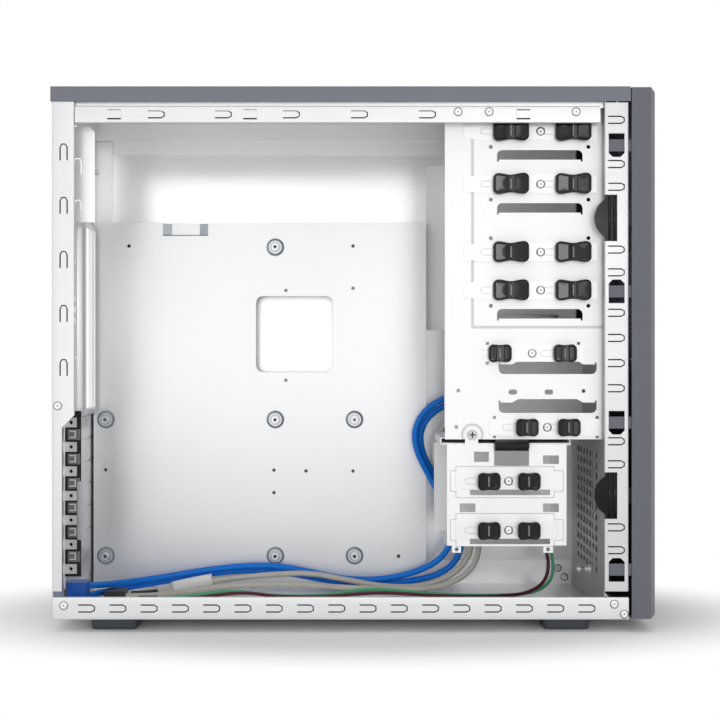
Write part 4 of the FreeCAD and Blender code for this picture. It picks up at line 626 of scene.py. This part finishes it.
def rocker_form(length, height, waist):
    """Points (along, across, out) of a rocker and the mask of its slit. Along its length, each row is a
    closed section: over the top from side to side and back under it. The half width narrows from both
    wings to the waist and is rounded off at the ends. The top is flat on one wing and climbs at the tilt
    on the other; it is rounded off at the edge, and inside a rim and either side of a middle bar it drops
    to a dish that deepens away from them. The underside is parallel, with a round groove for the ridge."""
    half, end = length / 2, length / 2 * math.cos(ROCKER_TILT)
    sweep = (1 - np.cos(np.linspace(0, np.pi, WING_ROWS))) / 2
    slit_rows = np.array(SLIT_ROWS) * SLIT_HALF
    along = np.r_[sweep * (half - ROCKER_BAR) - half, slit_rows, ROCKER_BAR + sweep * (end - ROCKER_BAR)]
    along = along[:, None]
    to_end = np.minimum(along + half, end - along)
    share = np.abs(along - (end - half) / 2) / ((end + half) / 2)
    wide = height / 2 * (waist + (1 - waist) * ease(share, 0.0, WAIST_REACH))
    near = ROCKER_CORNER - np.clip(to_end, 0, ROCKER_CORNER)
    wide = wide - ROCKER_CORNER + np.sqrt(ROCKER_CORNER ** 2 - near ** 2)
    over = np.sin(np.linspace(-np.pi / 2, np.pi / 2, OVER_COLUMNS))
    under = np.linspace(1, -1, UNDER_COLUMNS)
    to_edge = np.minimum(wide * (1 - np.abs(over)), to_end)
    inside = np.minimum(to_edge, np.abs(along) - ROCKER_BAR)
    climb = ROCKER_EDGE * np.logaddexp(0, (along + ROCKER_THICK * math.tan(ROCKER_TILT / 2)) / ROCKER_EDGE)
    level = ROCKER_TOP + math.tan(ROCKER_TILT) * climb
    round_off = ROCKER_EDGE - np.clip(to_edge, 0, ROCKER_EDGE)
    step, bowl, spread = ROCKER_DISH
    top = level - ROCKER_EDGE + np.sqrt(ROCKER_EDGE ** 2 - round_off ** 2)
    top = top - step * ease(inside, *ROCKER_RIM) - bowl * (1 - np.exp(-np.clip(inside, 0, None) / spread))
    slit = (np.abs(along) < SLIT_HALF) & (np.abs(over) < SLIT_SHARE)
    top = top - SLIT_DEPTH * slit
    ridge = RIDGE_HEIGHT + np.sqrt(np.clip(RIDGE_ROOM ** 2 - along ** 2, 0, None))
    foot = np.where(np.abs(along) < RIDGE_ROOM, np.maximum(level - ROCKER_THICK, ridge), level - ROCKER_THICK)
    across = wide * np.r_[over, under]
    out = np.concatenate([top, foot + 0 * under], 1)
    form = np.stack([along + 0 * out, across, out], -1)
    form = np.concatenate([form[:1].mean(1, keepdims=True) + 0 * form[:1], form,
                           form[-1:].mean(1, keepdims=True) + 0 * form[-1:]])
    mask = np.pad(np.concatenate([slit, np.zeros((len(along), len(under)))], 1), ((1, 1), (0, 0)))
    return form, mask


def pin_form(middle):
    """A square pin under a wing, as (along, across, out): two squares closed by their middles."""
    side = np.array([(-1, -1), (1, -1), (1, 1), (-1, 1)]) * PIN_HALF
    grown = np.array([0, 1, 1, 0])[:, None, None]
    out = np.repeat(PIN_ENDS, 2)[:, None, None] + 0 * side[None, :, :1]
    return np.concatenate([grown * side + (middle, 0.0), out], -1)


LARGE_ROCKER = (0.0290, 0.0170, 0.84)
SMALL_ROCKER = (0.0188, 0.0146, 0.92)
for joint in frame["record"]["behaviour"]["joints"]:
    name = joint["child"]
    if not name.endswith("_rocker"):
        continue
    x, y, z = joint["pos_m"]
    pressed = 1 if joint["range_deg"][0] < 0 else -1
    size = LARGE_ROCKER if name.startswith("large") else SMALL_ROCKER
    form, mask = rocker_form(*size)
    pin = pin_form(PIN_INSET - size[0] / 2)
    placed = [np.stack([x - pressed * part[..., 0], y + RIDGE_HEIGHT - part[..., 2], z + part[..., 1]], -1)
              for part in (form, pin)]
    slit = np.r_[mask.ravel(), np.zeros(pin[..., 0].size)]
    moulding = piece_of(name + "_moulding", placed, rocker_black, name, "black_plastic", slit=slit)
    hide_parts(name)
black_satin = moulded("black satin", colour=(0.004, 0.004, 0.005), roughness=0.22, marks=0.2, relief=0.03,
                      gloss=0.14)
dress(["cage_handle"], black_satin, edge=0.0008, segments=3)

# Cage screw and thumbscrews: nickel-plated steel. The cage screw has a cross recess and holds the
# drive cage; the two thumbscrews hold the right side panel at the rear.


def nickel(name, tone):
    """Nickel plate with faint marks."""
    material, tree, shader = finish_of(name)
    skin = put(tree, "ShaderNodeGroup", node_tree=mould_skin, Roughness=0.25, Marks=0.15)
    tree.links.new(skin.outputs["Roughness"], shader.inputs["Roughness"])
    shader.inputs["Base Color"].default_value = (*tone, 1.0)
    shader.inputs["Metallic"].default_value = 1.0
    return material


# Painted shade: the cross recess is painted as a near-black cross on the front of the screw head.
CROSS = (0.0005, 0.0025)
CROSS_PAINTED_SHADE = (0.01, 0.01, 0.01)
screw_low, screw_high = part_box("cage_screw")
screw_x, screw_z = (screw_low.x + screw_high.x) / 2, (screw_low.z + screw_high.z) / 2
screw_nickel = nickel("screw nickel", tone=(0.30, 0.30, 0.30))
cross_zones = [((screw_x - wide, screw_low.y - SHEET, screw_z - tall),
                (screw_x + wide, screw_low.y + SHEET / 2, screw_z + tall))
               for wide, tall in (CROSS, CROSS[::-1])]
shade_zones(screw_nickel, cross_zones, CROSS_PAINTED_SHADE)
dress(["cage_screw"], screw_nickel, edge=0.0006)
dress(["thumbscrews"], nickel("thumbscrew nickel", tone=(0.62, 0.61, 0.60)), edge=0.0004)

# Top cover and right side panel: steel sheet with a fine satin slate paint outside. The right panel
# shows its zinc coat inside and is held at the rear by the two thumbscrews.


def slate(name, colour, roughness, relief):
    """Slate paint or plastic with a fine even grain and a faint change of tone."""
    material, tree, shader = finish_of(name)
    place = own_place(tree)
    tone = noise(tree, place, Scale=9.0, Detail=4.0)
    speck = noise(tree, place, Scale=1900.0, Detail=2.0)
    mixed = scaled(tree, tone, by=0.16, onto=0.92)
    shade = put(tree, "ShaderNodeVectorMath", operation="SCALE", _0=colour, Scale=mixed)
    tree.links.new(shade.outputs["Vector"], shader.inputs["Base Color"])
    rough = scaled(tree, speck, by=0.15, onto=roughness)
    tree.links.new(rough, shader.inputs["Roughness"])
    raised(tree, shader, speck, Strength=relief, Distance=0.0003)
    return material


SLATE = (0.165, 0.175, 0.21)
slate_paint = slate("slate paint", colour=SLATE, roughness=0.36, relief=0.12)
dress(["top_cover"], slate_paint)
PANEL_ZINC_SHINE = 0.5
PAINTED_FACE = ((-0.2500, 0.0953, 0.0000), (0.2500, 0.0970, 0.4400))
panel_zinc = zinc_steel("panel zinc", tone=(0.86, 0.865, 0.87), cloud=0.03, roughness=0.24,
                        metallic=PANEL_ZINC_SHINE, relief=0.003)
panel_tree = panel_zinc.node_tree
painted = put(panel_tree, "ShaderNodeGroup", node_tree=zone, Low=PAINTED_FACE[0], High=PAINTED_FACE[1])
tint(panel_zinc, painted.outputs["Mask"], SLATE)
shine = scaled(panel_tree, painted.outputs["Mask"], by=-PANEL_ZINC_SHINE, onto=PANEL_ZINC_SHINE)
panel_tree.links.new(shine, panel_tree.nodes["Principled BSDF"].inputs["Metallic"])
dress(["right_side_panel"], panel_zinc)

# Front bezel, bay covers and controls: slate ABS mouldings with a fine mould grain, clipped to the
# front panel. The covers, the socket module and the buttons fill the openings of the bezel.
slate_plastic = slate("slate plastic", colour=(0.12, 0.125, 0.15), roughness=0.45, relief=0.2)
large_covers = ["bay_cover_1", "bay_cover_2", "bay_cover_3", "bay_cover_4"]
dress(["front_bezel"], slate_plastic)
dress(large_covers, slate_plastic, edge=0.0005)
dress(["small_bay_cover", "front_io_module", "power_button", "reset_button"], slate_plastic, edge=0.0005)

# Bezel latches: two black mouldings at the front rail that work by bending. Two half-round ribs,
# moulded along each latch, are a finger hold.


def bar(x, y, z0, z1, radius):
    """A half-round bar along Z that bulges to -Y, with a flat back, closed at its ends on its axis."""
    angle = np.linspace(0, np.pi, RIB_COLUMNS)
    height = np.array([z0, z0, z1, z1])[:, None]
    reach = np.array([0.0, radius, radius, 0.0])[:, None]
    return np.stack([x + reach * np.cos(angle), y - reach * np.sin(angle), height + 0 * angle], -1)


LATCH_RIBS = (0.2052, 0.2092)
LATCH_Z = ((0.3148, 0.3500), (0.0920, 0.1272))
RIB_RADIUS = 0.0011
RIB_COLUMNS = 13
dress(["bezel_latches"], black_satin, edge=0.0006)
black_gloss = moulded("black gloss", **BLACK_GLOSS)
ribs = [bar(x, rail_face + SHEET, z0, z1, RIB_RADIUS) for x in LATCH_RIBS for z0, z1 in LATCH_Z]
piece_of("latch_ribs", ribs, black_gloss, "chassis", "black_plastic")

# Intake filter: a thin sheet of black open foam behind the slots of the bezel, which keeps dust
# out and lets no light through the gap at the front rail. It is pushed in behind the slots.


def open_foam():
    """Black foam: cells as pits between thin ribs in relief, with painted shade that darkens the middle of
    each pit.
    """
    material, tree, shader = finish_of("filter foam")
    cells = put(tree, "ShaderNodeTexVoronoi", Vector=own_place(tree), Scale=700.0, feature="DISTANCE_TO_EDGE")
    # Painted shade: the middle of each cell is darker than the ribs.
    tone = put(tree, "ShaderNodeMix", data_type="RGBA", _0=cells.outputs["Distance"],
               _6=(0.02, 0.02, 0.021, 1.0), _7=(0.004, 0.004, 0.004, 1.0))
    tree.links.new(tone.outputs[2], shader.inputs["Base Color"])
    raised(tree, shader, cells.outputs["Distance"], Strength=0.5, Distance=0.0005, invert=True)
    shader.inputs["Roughness"].default_value = 0.9
    shader.inputs["Specular IOR Level"].default_value = 0.1
    return material


FILTER_X = (0.2376, 0.2396)
FILTER_LOW = (-0.064, 0.030)
FILTER_HIGH = (0.064, 0.150)
FILTER_CORNER = 0.004
filter_grid = flat_plate(FILTER_LOW, FILTER_HIGH, FILTER_CORNER, *FILTER_X)
piece_of("intake_filter", [filter_grid], open_foam(), "chassis", "black_plastic")

# Cover lips: a strip moulded behind the lower edge of each large bay cover, which laps behind
# the next cover and closes the gap between the two. It is the same slate ABS as the covers.
COVER_LIP_HALF = 0.0025
COVER_LIP_INSET = 0.0020
COVER_LIP_THICK = 0.0012
COVER_PLATE = 0.0025
cover_boxes = [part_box(name) for name in large_covers]
lip_grids = []
for (low, high), below in zip(cover_boxes, cover_boxes[1:]):
    z = (low.z + below[1].z) / 2
    back = high.x - COVER_PLATE
    lip_low = (low.y + COVER_LIP_INSET, z - COVER_LIP_HALF)
    lip_high = (high.y - COVER_LIP_INSET, z + COVER_LIP_HALF)
    lip_grids.append(flat_plate(lip_low, lip_high, COVER_LIP_THICK, back - COVER_LIP_THICK, back))
piece_of("cover_lips", lip_grids, slate_plastic, "chassis", "slate_plastic", folds=flat_folds)

# Feet: four dark moulded blocks with a flat front and a slight taper, pushed into the pan from
# below. Their sole edge is a little rounded.


def foot_form(x, y, rings, corner):
    """A closed block of rounded squares: each ring is a half width and a height."""
    half, height = np.array(rings, float).T[:, :, None, None]
    edge = rounded(round_turn(FOOT_TURNS), np.clip(half - corner, 0, None), np.minimum(half, corner))
    return np.concatenate([edge + (x, y), height + 0 * edge[..., :1]], -1)


FOOT_TURNS = 48
FOOT_RINGS = [(0.0, 0.0), (0.0176, 0.0), (0.0182, 0.0006), (0.0190, 0.0100), (0.0, 0.0100)]
FOOT_CORNER = 0.0035
FOOT_X = (-0.1950, 0.1724)
FOOT_Y = (-0.0630, 0.0630)
foot_plastic = moulded("foot plastic", colour=(0.045, 0.053, 0.066), roughness=0.5, marks=0.2, relief=0.2)
foot_grids = [foot_form(x, y, FOOT_RINGS, FOOT_CORNER) for x in FOOT_X for y in FOOT_Y]
feet = piece_of("foot_blocks", foot_grids, foot_plastic, "chassis", "foot_rubber", folds=flat_folds)
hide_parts("feet")

# Front panel cables: two blue and two grey sheathed cables and a thin green and dark red wire.
# They leave the socket board, loop round the drive cage and lie along the floor to their plugs.


def sheath(name, colour, roughness):
    """Soft PVC sheath with faint marks along it."""
    material, tree, shader = finish_of(name)
    marks = noise(tree, own_place(tree), Scale=90.0, Detail=4.0)
    amount = scaled(tree, marks, by=0.3, onto=0.85)
    shade = put(tree, "ShaderNodeVectorMath", operation="SCALE", _0=colour, Scale=amount)
    tree.links.new(shade.outputs["Vector"], shader.inputs["Base Color"])
    rough = scaled(tree, marks, by=0.2, onto=roughness)
    tree.links.new(rough, shader.inputs["Roughness"])
    raised(tree, shader, marks, Strength=0.08, Distance=0.0003)
    shader.inputs["Specular IOR Level"].default_value = 0.3
    return material


def cable(name, route, diameter, material):
    """A cable as one smooth spline along the route's control points, given in millimetres."""
    points = np.array(route, float) / 1000
    curve = bpy.data.curves.new(name, "CURVE")
    curve.dimensions = "3D"
    curve.bevel_depth = diameter / 2
    curve.bevel_resolution = 5
    curve.resolution_u = 10
    curve.use_fill_caps = True
    spline = curve.splines.new("NURBS")
    spline.points.add(len(points) - 1)
    spline.points.foreach_set("co", np.c_[points, np.ones(len(points))].ravel())
    spline.order_u = 3
    spline.use_endpoint_u = True
    curve.materials.append(material)
    made = added(name + "_sheath", curve)
    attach(made, "chassis")
    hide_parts(name)
    return made


BLUE_ROUTE_1 = (
    (226, 50, 192), (190, 50.5, 193), (152, 52, 193), (114, 54, 191.5), (82, 56, 185.5),
    (62, 57, 172), (53.5, 57, 154), (56, 57, 136), (65, 57, 118), (76, 57, 98), (86, 57, 78),
    (89, 57, 58), (80, 57.3, 40), (62, 57.8, 29), (38, 58.4, 22), (13, 59, 19),
    (-14, 59.3, 20.5), (-42, 59.5, 27), (-72, 59, 32.5), (-104, 58, 32), (-136, 55.5, 28.5),
    (-166, 50.5, 24), (-192, 40, 21.5), (-210, 23, 21.5), (-222, 4, 23), (-229, -14, 25.5),
    (-231, -30, 27))
BLUE_ROUTE_2 = (
    (226, 58, 184), (190, 58, 185), (152, 59, 185), (116, 60, 184), (87, 61.5, 180),
    (69, 62.3, 170), (59.3, 62.8, 155), (60, 63, 138), (67, 63, 122), (77, 63, 105),
    (87, 63, 86), (95, 63, 67), (97.5, 63, 48), (89, 63.1, 31.5), (72, 63.3, 22.0), (50, 63.6, 17.5),
    (26, 64.1, 15.4), (0, 64.4, 15.6), (-28, 64.5, 18.6), (-56, 64.4, 24.4), (-86, 64, 27.8),
    (-118, 62.8, 26.4), (-150, 59.5, 22.2), (-180, 52.5, 17.8), (-204, 39, 15.4), (-220, 20, 14.6),
    (-230, 0, 14.8), (-233.5, -16, 16), (-233.5, -30, 17))
GREY_ROUTE_1 = (
    (226, 43, 178), (190, 43.5, 178.5), (152, 45, 178), (116, 46.5, 175), (90, 48, 167),
    (74, 48.5, 153), (70, 48.5, 136), (76, 48.5, 118), (86, 48.5, 99), (97.5, 48.5, 80),
    (105, 48.5, 60), (103, 48.5, 41), (89, 49, 25.5), (67, 49.5, 16.5), (43, 50, 14),
    (17, 50, 16), (-11, 50, 21.5), (-40, 50, 27), (-70, 49.5, 26), (-100, 49, 23.5),
    (-130, 47, 20), (-154, 39, 16), (-170, 26, 14), (-183, 14, 13.8), (-198, 10, 14))
GREY_ROUTE_2 = (
    (226, 37, 171), (190, 37, 171.5), (152, 38.5, 171), (120, 40, 167), (96, 41, 158),
    (82, 41.5, 143), (80, 41.5, 125), (87, 41.5, 106), (98, 41.5, 87), (108, 41.5, 68),
    (112, 41.5, 49), (105, 41.5, 31), (88, 42, 19), (64, 42, 14), (38, 42, 13.6),
    (10, 42, 14.2), (-18, 42.5, 15.5), (-48, 43, 17.5), (-79, 43, 18), (-109, 41, 17),
    (-136, 34, 15), (-156, 22, 13.8), (-171, 8, 13.6), (-184, 1.5, 13.8), (-198, 0, 14))
GREEN_ROUTE = (
    (226, 46, 210), (210, 45, 211), (196, 42, 208), (185, 38, 198), (178, 35, 183),
    (174.5, 33, 160), (172.5, 32, 132), (171, 31, 104), (171, 31, 77), (173, 31, 54),
    (176.5, 30, 36), (173, 27, 21), (158, 20, 13.5), (135, 13, 12.2), (108, 11, 12.2),
    (82, 13, 12.6), (57, 15.5, 14), (32, 16, 16.5), (10, 16, 17.5), (-10, 14.5, 14.5),
    (-32, 11, 12.2), (-58, 8, 12.2), (-84, 10, 13.5), (-108, 13, 16.5), (-130, 11, 14),
    (-149, 4, 12.3), (-161, -3, 12.2), (-170, -5, 12.4))
RED_ROUTE = (
    (226, 40, 204), (209, 39, 205), (194, 36.5, 201), (182, 33, 190), (174, 30.5, 174),
    (170, 29, 152), (168, 28.5, 126), (166.5, 28.5, 100), (166.5, 28.5, 75), (168.5, 28, 53),
    (172, 27, 37), (168, 23.5, 22), (152, 16, 13.5), (130, 8, 12.2), (104, 5.5, 12.2),
    (78, 7.5, 12.4), (52, 9.5, 13.5), (26, 10, 15), (3, 9, 14), (-19, 7, 12.4),
    (-44, 3, 12.2), (-70, 3.5, 12.8), (-92, 6.5, 15.5), (-112, 6, 14.5), (-134, 0, 12.4),
    (-150, -7, 12.2), (-161, -11.5, 12.2), (-170, -13, 12.4))
blue_sheath = sheath("blue sheath", colour=(0.0, 0.20, 0.80), roughness=0.4)
grey_sheath = sheath("grey sheath", colour=(0.56, 0.53, 0.48), roughness=0.35)
green_sheath = sheath("green sheath", colour=(0.1, 0.45, 0.23), roughness=0.35)
red_sheath = sheath("red sheath", colour=(0.10, 0.012, 0.022), roughness=0.35)
WIRE_LIFT = (0.0, 0.0, 0.5)
BLUE_THICK = 0.0056
GREY_THICK = 0.0050
WIRE_THICK = 0.0030
blue_1 = cable("blue_cable_1", BLUE_ROUTE_1, BLUE_THICK, blue_sheath)
blue_2 = cable("blue_cable_2", BLUE_ROUTE_2, BLUE_THICK, blue_sheath)
grey_1 = cable("grey_cable_1", GREY_ROUTE_1, GREY_THICK, grey_sheath)
grey_2 = cable("grey_cable_2", GREY_ROUTE_2, GREY_THICK, grey_sheath)
green = cable("green_wire", np.add(GREEN_ROUTE, WIRE_LIFT), WIRE_THICK, green_sheath)
red = cable("red_wire", np.add(RED_ROUTE, WIRE_LIFT), WIRE_THICK, red_sheath)

# Label and shrink sleeve on a grey cable: white paper wrapped once round it, and a short black
# tube, shrunk on where the strands fan out into the plug.


def middle_line(cord):
    """Points along the middle of a cable, read from its spline without the bevel."""
    bare = cord.copy()
    bare.data = cord.data.copy()
    bare.data.bevel_depth = 0.0
    mesh = bpy.data.meshes.new_from_object(bare)
    points = np.empty(3 * len(mesh.vertices))
    mesh.vertices.foreach_get("co", points)
    bpy.data.objects.remove(bare)
    return points.reshape(-1, 3)


def sleeve(name, cord, span, radius, material, slot, tall=1.0, rise=0.0):
    """A thin tube round a cable: rings square to its middle line, between two places along X. The rings
    may be taller than wide and may sit higher than the cable; each end is closed to its middle."""
    line = middle_line(cord)
    line = line[(line[:, 0] > span[0]) & (line[:, 0] < span[1])]
    along = np.gradient(line, axis=0)
    along /= np.linalg.norm(along, axis=1, keepdims=True)
    side = np.cross(along, (0.0, 0.0, 1.0))
    side /= np.linalg.norm(side, axis=1, keepdims=True)
    up = np.cross(side, along)
    turn = round_turn(SLEEVE_TURNS)[None, :, None]
    rings = line[:, None] + radius * np.cos(turn) * side[:, None]
    rings = rings + (rise + radius * tall * np.sin(turn)) * up[:, None]
    ends = rings[[0, -1]].mean(1, keepdims=True) + 0 * rings[[0, -1]]
    rings = np.concatenate([ends[:1], rings, ends[1:]])
    return piece_of(name, [rings], material, "chassis", slot)


SLEEVE_TURNS = 24
LABEL_SPAN = (-0.162, -0.126)
LABEL_RADIUS = 0.0031
TUBE_SPAN = (-0.196, -0.174)
TUBE_RADIUS = 0.0029
label_paper = moulded("label paper", colour=(0.85, 0.85, 0.84), roughness=0.6, marks=0.2, relief=0.05)
shrink_tube = moulded("shrink tube", colour=(0.02, 0.018, 0.018), roughness=0.45, marks=0.2, relief=0.1)
label = sleeve("cable_label", grey_1, LABEL_SPAN, LABEL_RADIUS, label_paper, "grey_sheath", tall=1.7,
               rise=0.0014)
tube = sleeve("cable_tube", grey_1, TUBE_SPAN, TUBE_RADIUS, shrink_tube, "black_plastic")

# Header plugs at the cable ends: small moulded blocks, one blue and two black, that stand on the
# floor of the pan. Each cable is a cord with its plug at the far end.


blue_plug_skin = moulded("blue plug", colour=(0.0, 0.09, 0.44), roughness=0.35, marks=0.1, relief=0.1)
black_plug_skin = moulded("black plug", colour=(0.02, 0.02, 0.022), roughness=0.4, marks=0.1, relief=0.15)
dress(["blue_plug"], blue_plug_skin, edge=0.0005)
dress(["grey_plug", "wire_plug"], black_plug_skin, edge=0.0004)

# Camera: it looks square-on at the open left side, at the photograph's distance and with the lens
# that gives its frame.
LENS_MM = 74.85
SENSOR_MM = 36.0
CAMERA_PLACE = (0.0048, -1.296, 0.2184)
camera_data = bpy.data.cameras.new("camera")
camera_data.lens = LENS_MM
camera_data.sensor_width = SENSOR_MM
camera = added("camera", camera_data)
camera.location = CAMERA_PLACE
camera.rotation_euler = (math.pi / 2, 0.0, 0.0)
bpy.context.scene.camera = camera

# Floor: a plain pale sheet that takes the shadow close to the object. Further off, what looks at it
# and what mirrors it see plain white.
FLOOR_HALF = 6.0
FLOOR_DROP = -0.0003
SHADOW_REACH = (0.19, 0.34)
SHADOW_OVAL = (0.80, 1.35, 1.0)
floor_grid = np.array([[[-1, -1, 0], [1, -1, 0]], [[-1, 1, 0], [1, 1, 0]]], float) * FLOOR_HALF
floor_grid[..., 2] = FLOOR_DROP
floor_mesh = grid_mesh("floor", [floor_grid], wrap=False)
floor = added("floor", floor_mesh)
floor_paint, floor_tree, floor_shader = finish_of("pale floor")
floor_shader.inputs["Base Color"].default_value = (0.9, 0.9, 0.9, 1.0)
floor_shader.inputs["Roughness"].default_value = 0.9
oval = put(floor_tree, "ShaderNodeMapping", Vector=own_place(floor_tree), Scale=SHADOW_OVAL)
away = put(floor_tree, "ShaderNodeVectorMath", operation="LENGTH", _0=oval.outputs["Vector"])
fade = put(floor_tree, "ShaderNodeMapRange", interpolation_type="SMOOTHSTEP", Value=away.outputs["Value"],
           From_Min=SHADOW_REACH[0], From_Max=SHADOW_REACH[1])
seen = put(floor_tree, "ShaderNodeLightPath")
viewed = maths(floor_tree, "MAXIMUM", seen.outputs["Is Camera Ray"], seen.outputs["Is Glossy Ray"])
plain = maths(floor_tree, "MULTIPLY", fade.outputs[0], viewed)
white = put(floor_tree, "ShaderNodeEmission", Color=(1.0, 1.0, 1.0, 1.0), Strength=1.0)
mixed_floor = put(floor_tree, "ShaderNodeMixShader", _0=plain, _1=floor_shader.outputs[0],
                  _2=white.outputs[0])
floor_tree.links.new(mixed_floor.outputs[0], floor_tree.nodes["Material Output"].inputs["Surface"])
floor_mesh.materials.append(floor_paint)

# Studio light: an even white surround and soft rectangular lamps: two large ones in front, a low
# one, one above, and four small ones in front.
SURROUND = 0.58
world = bpy.data.worlds.new("studio")
bpy.context.scene.world = world
world.use_nodes = True
sky = world.node_tree
sky.nodes.clear()
path = put(sky, "ShaderNodeLightPath")
mirrored = maths(sky, "MAXIMUM", path.outputs["Is Glossy Ray"], path.outputs["Is Transmission Ray"])
direct = maths(sky, "MAXIMUM", path.outputs["Is Camera Ray"], mirrored)
level = put(sky, "ShaderNodeMapRange", Value=direct, To_Min=SURROUND, To_Max=1.0)
back = put(sky, "ShaderNodeBackground", Color=(1.0, 1.0, 1.0, 1.0), Strength=level.outputs[0])
put(sky, "ShaderNodeOutputWorld", Surface=back.outputs[0])

SOFTBOXES = [((-0.95, -1.9, 0.55), (1.4, 1.2), 1.9), ((0.95, -1.9, 0.55), (1.4, 1.2), 1.5),
             ((0.0, -1.9, 0.13), (1.6, 0.24), 2.0),
             ((0.0, -0.4, 2.1), (2.0, 1.6), 6.0), ((-0.40, -1.9, 0.285), (0.2, 0.28), 0.4),
             ((0.0, -1.9, 0.27), (0.16, 0.28), 0.28), ((-0.27, -1.9, 0.65), (0.55, 0.2), 0.8),
             ((0.40, -1.9, 0.46), (0.3, 0.34), 2.6)]
LIGHT_AIM = (0.0, 0.0, 0.22)
for index, (place, size, power) in enumerate(SOFTBOXES):
    lamp = bpy.data.lights.new("softbox_%d" % index, "AREA")
    lamp.shape = "RECTANGLE"
    lamp.size, lamp.size_y = size
    lamp.energy = power
    stand = added(lamp.name, lamp)
    stand.location = place
    aim = np.array(LIGHT_AIM) - np.array(place)
    lean = math.acos(-aim[2] / np.linalg.norm(aim))
    stand.rotation_euler = (lean, 0.0, math.atan2(aim[1], aim[0]) - math.pi / 2)

bpy.context.scene.view_settings.view_transform = "Standard"
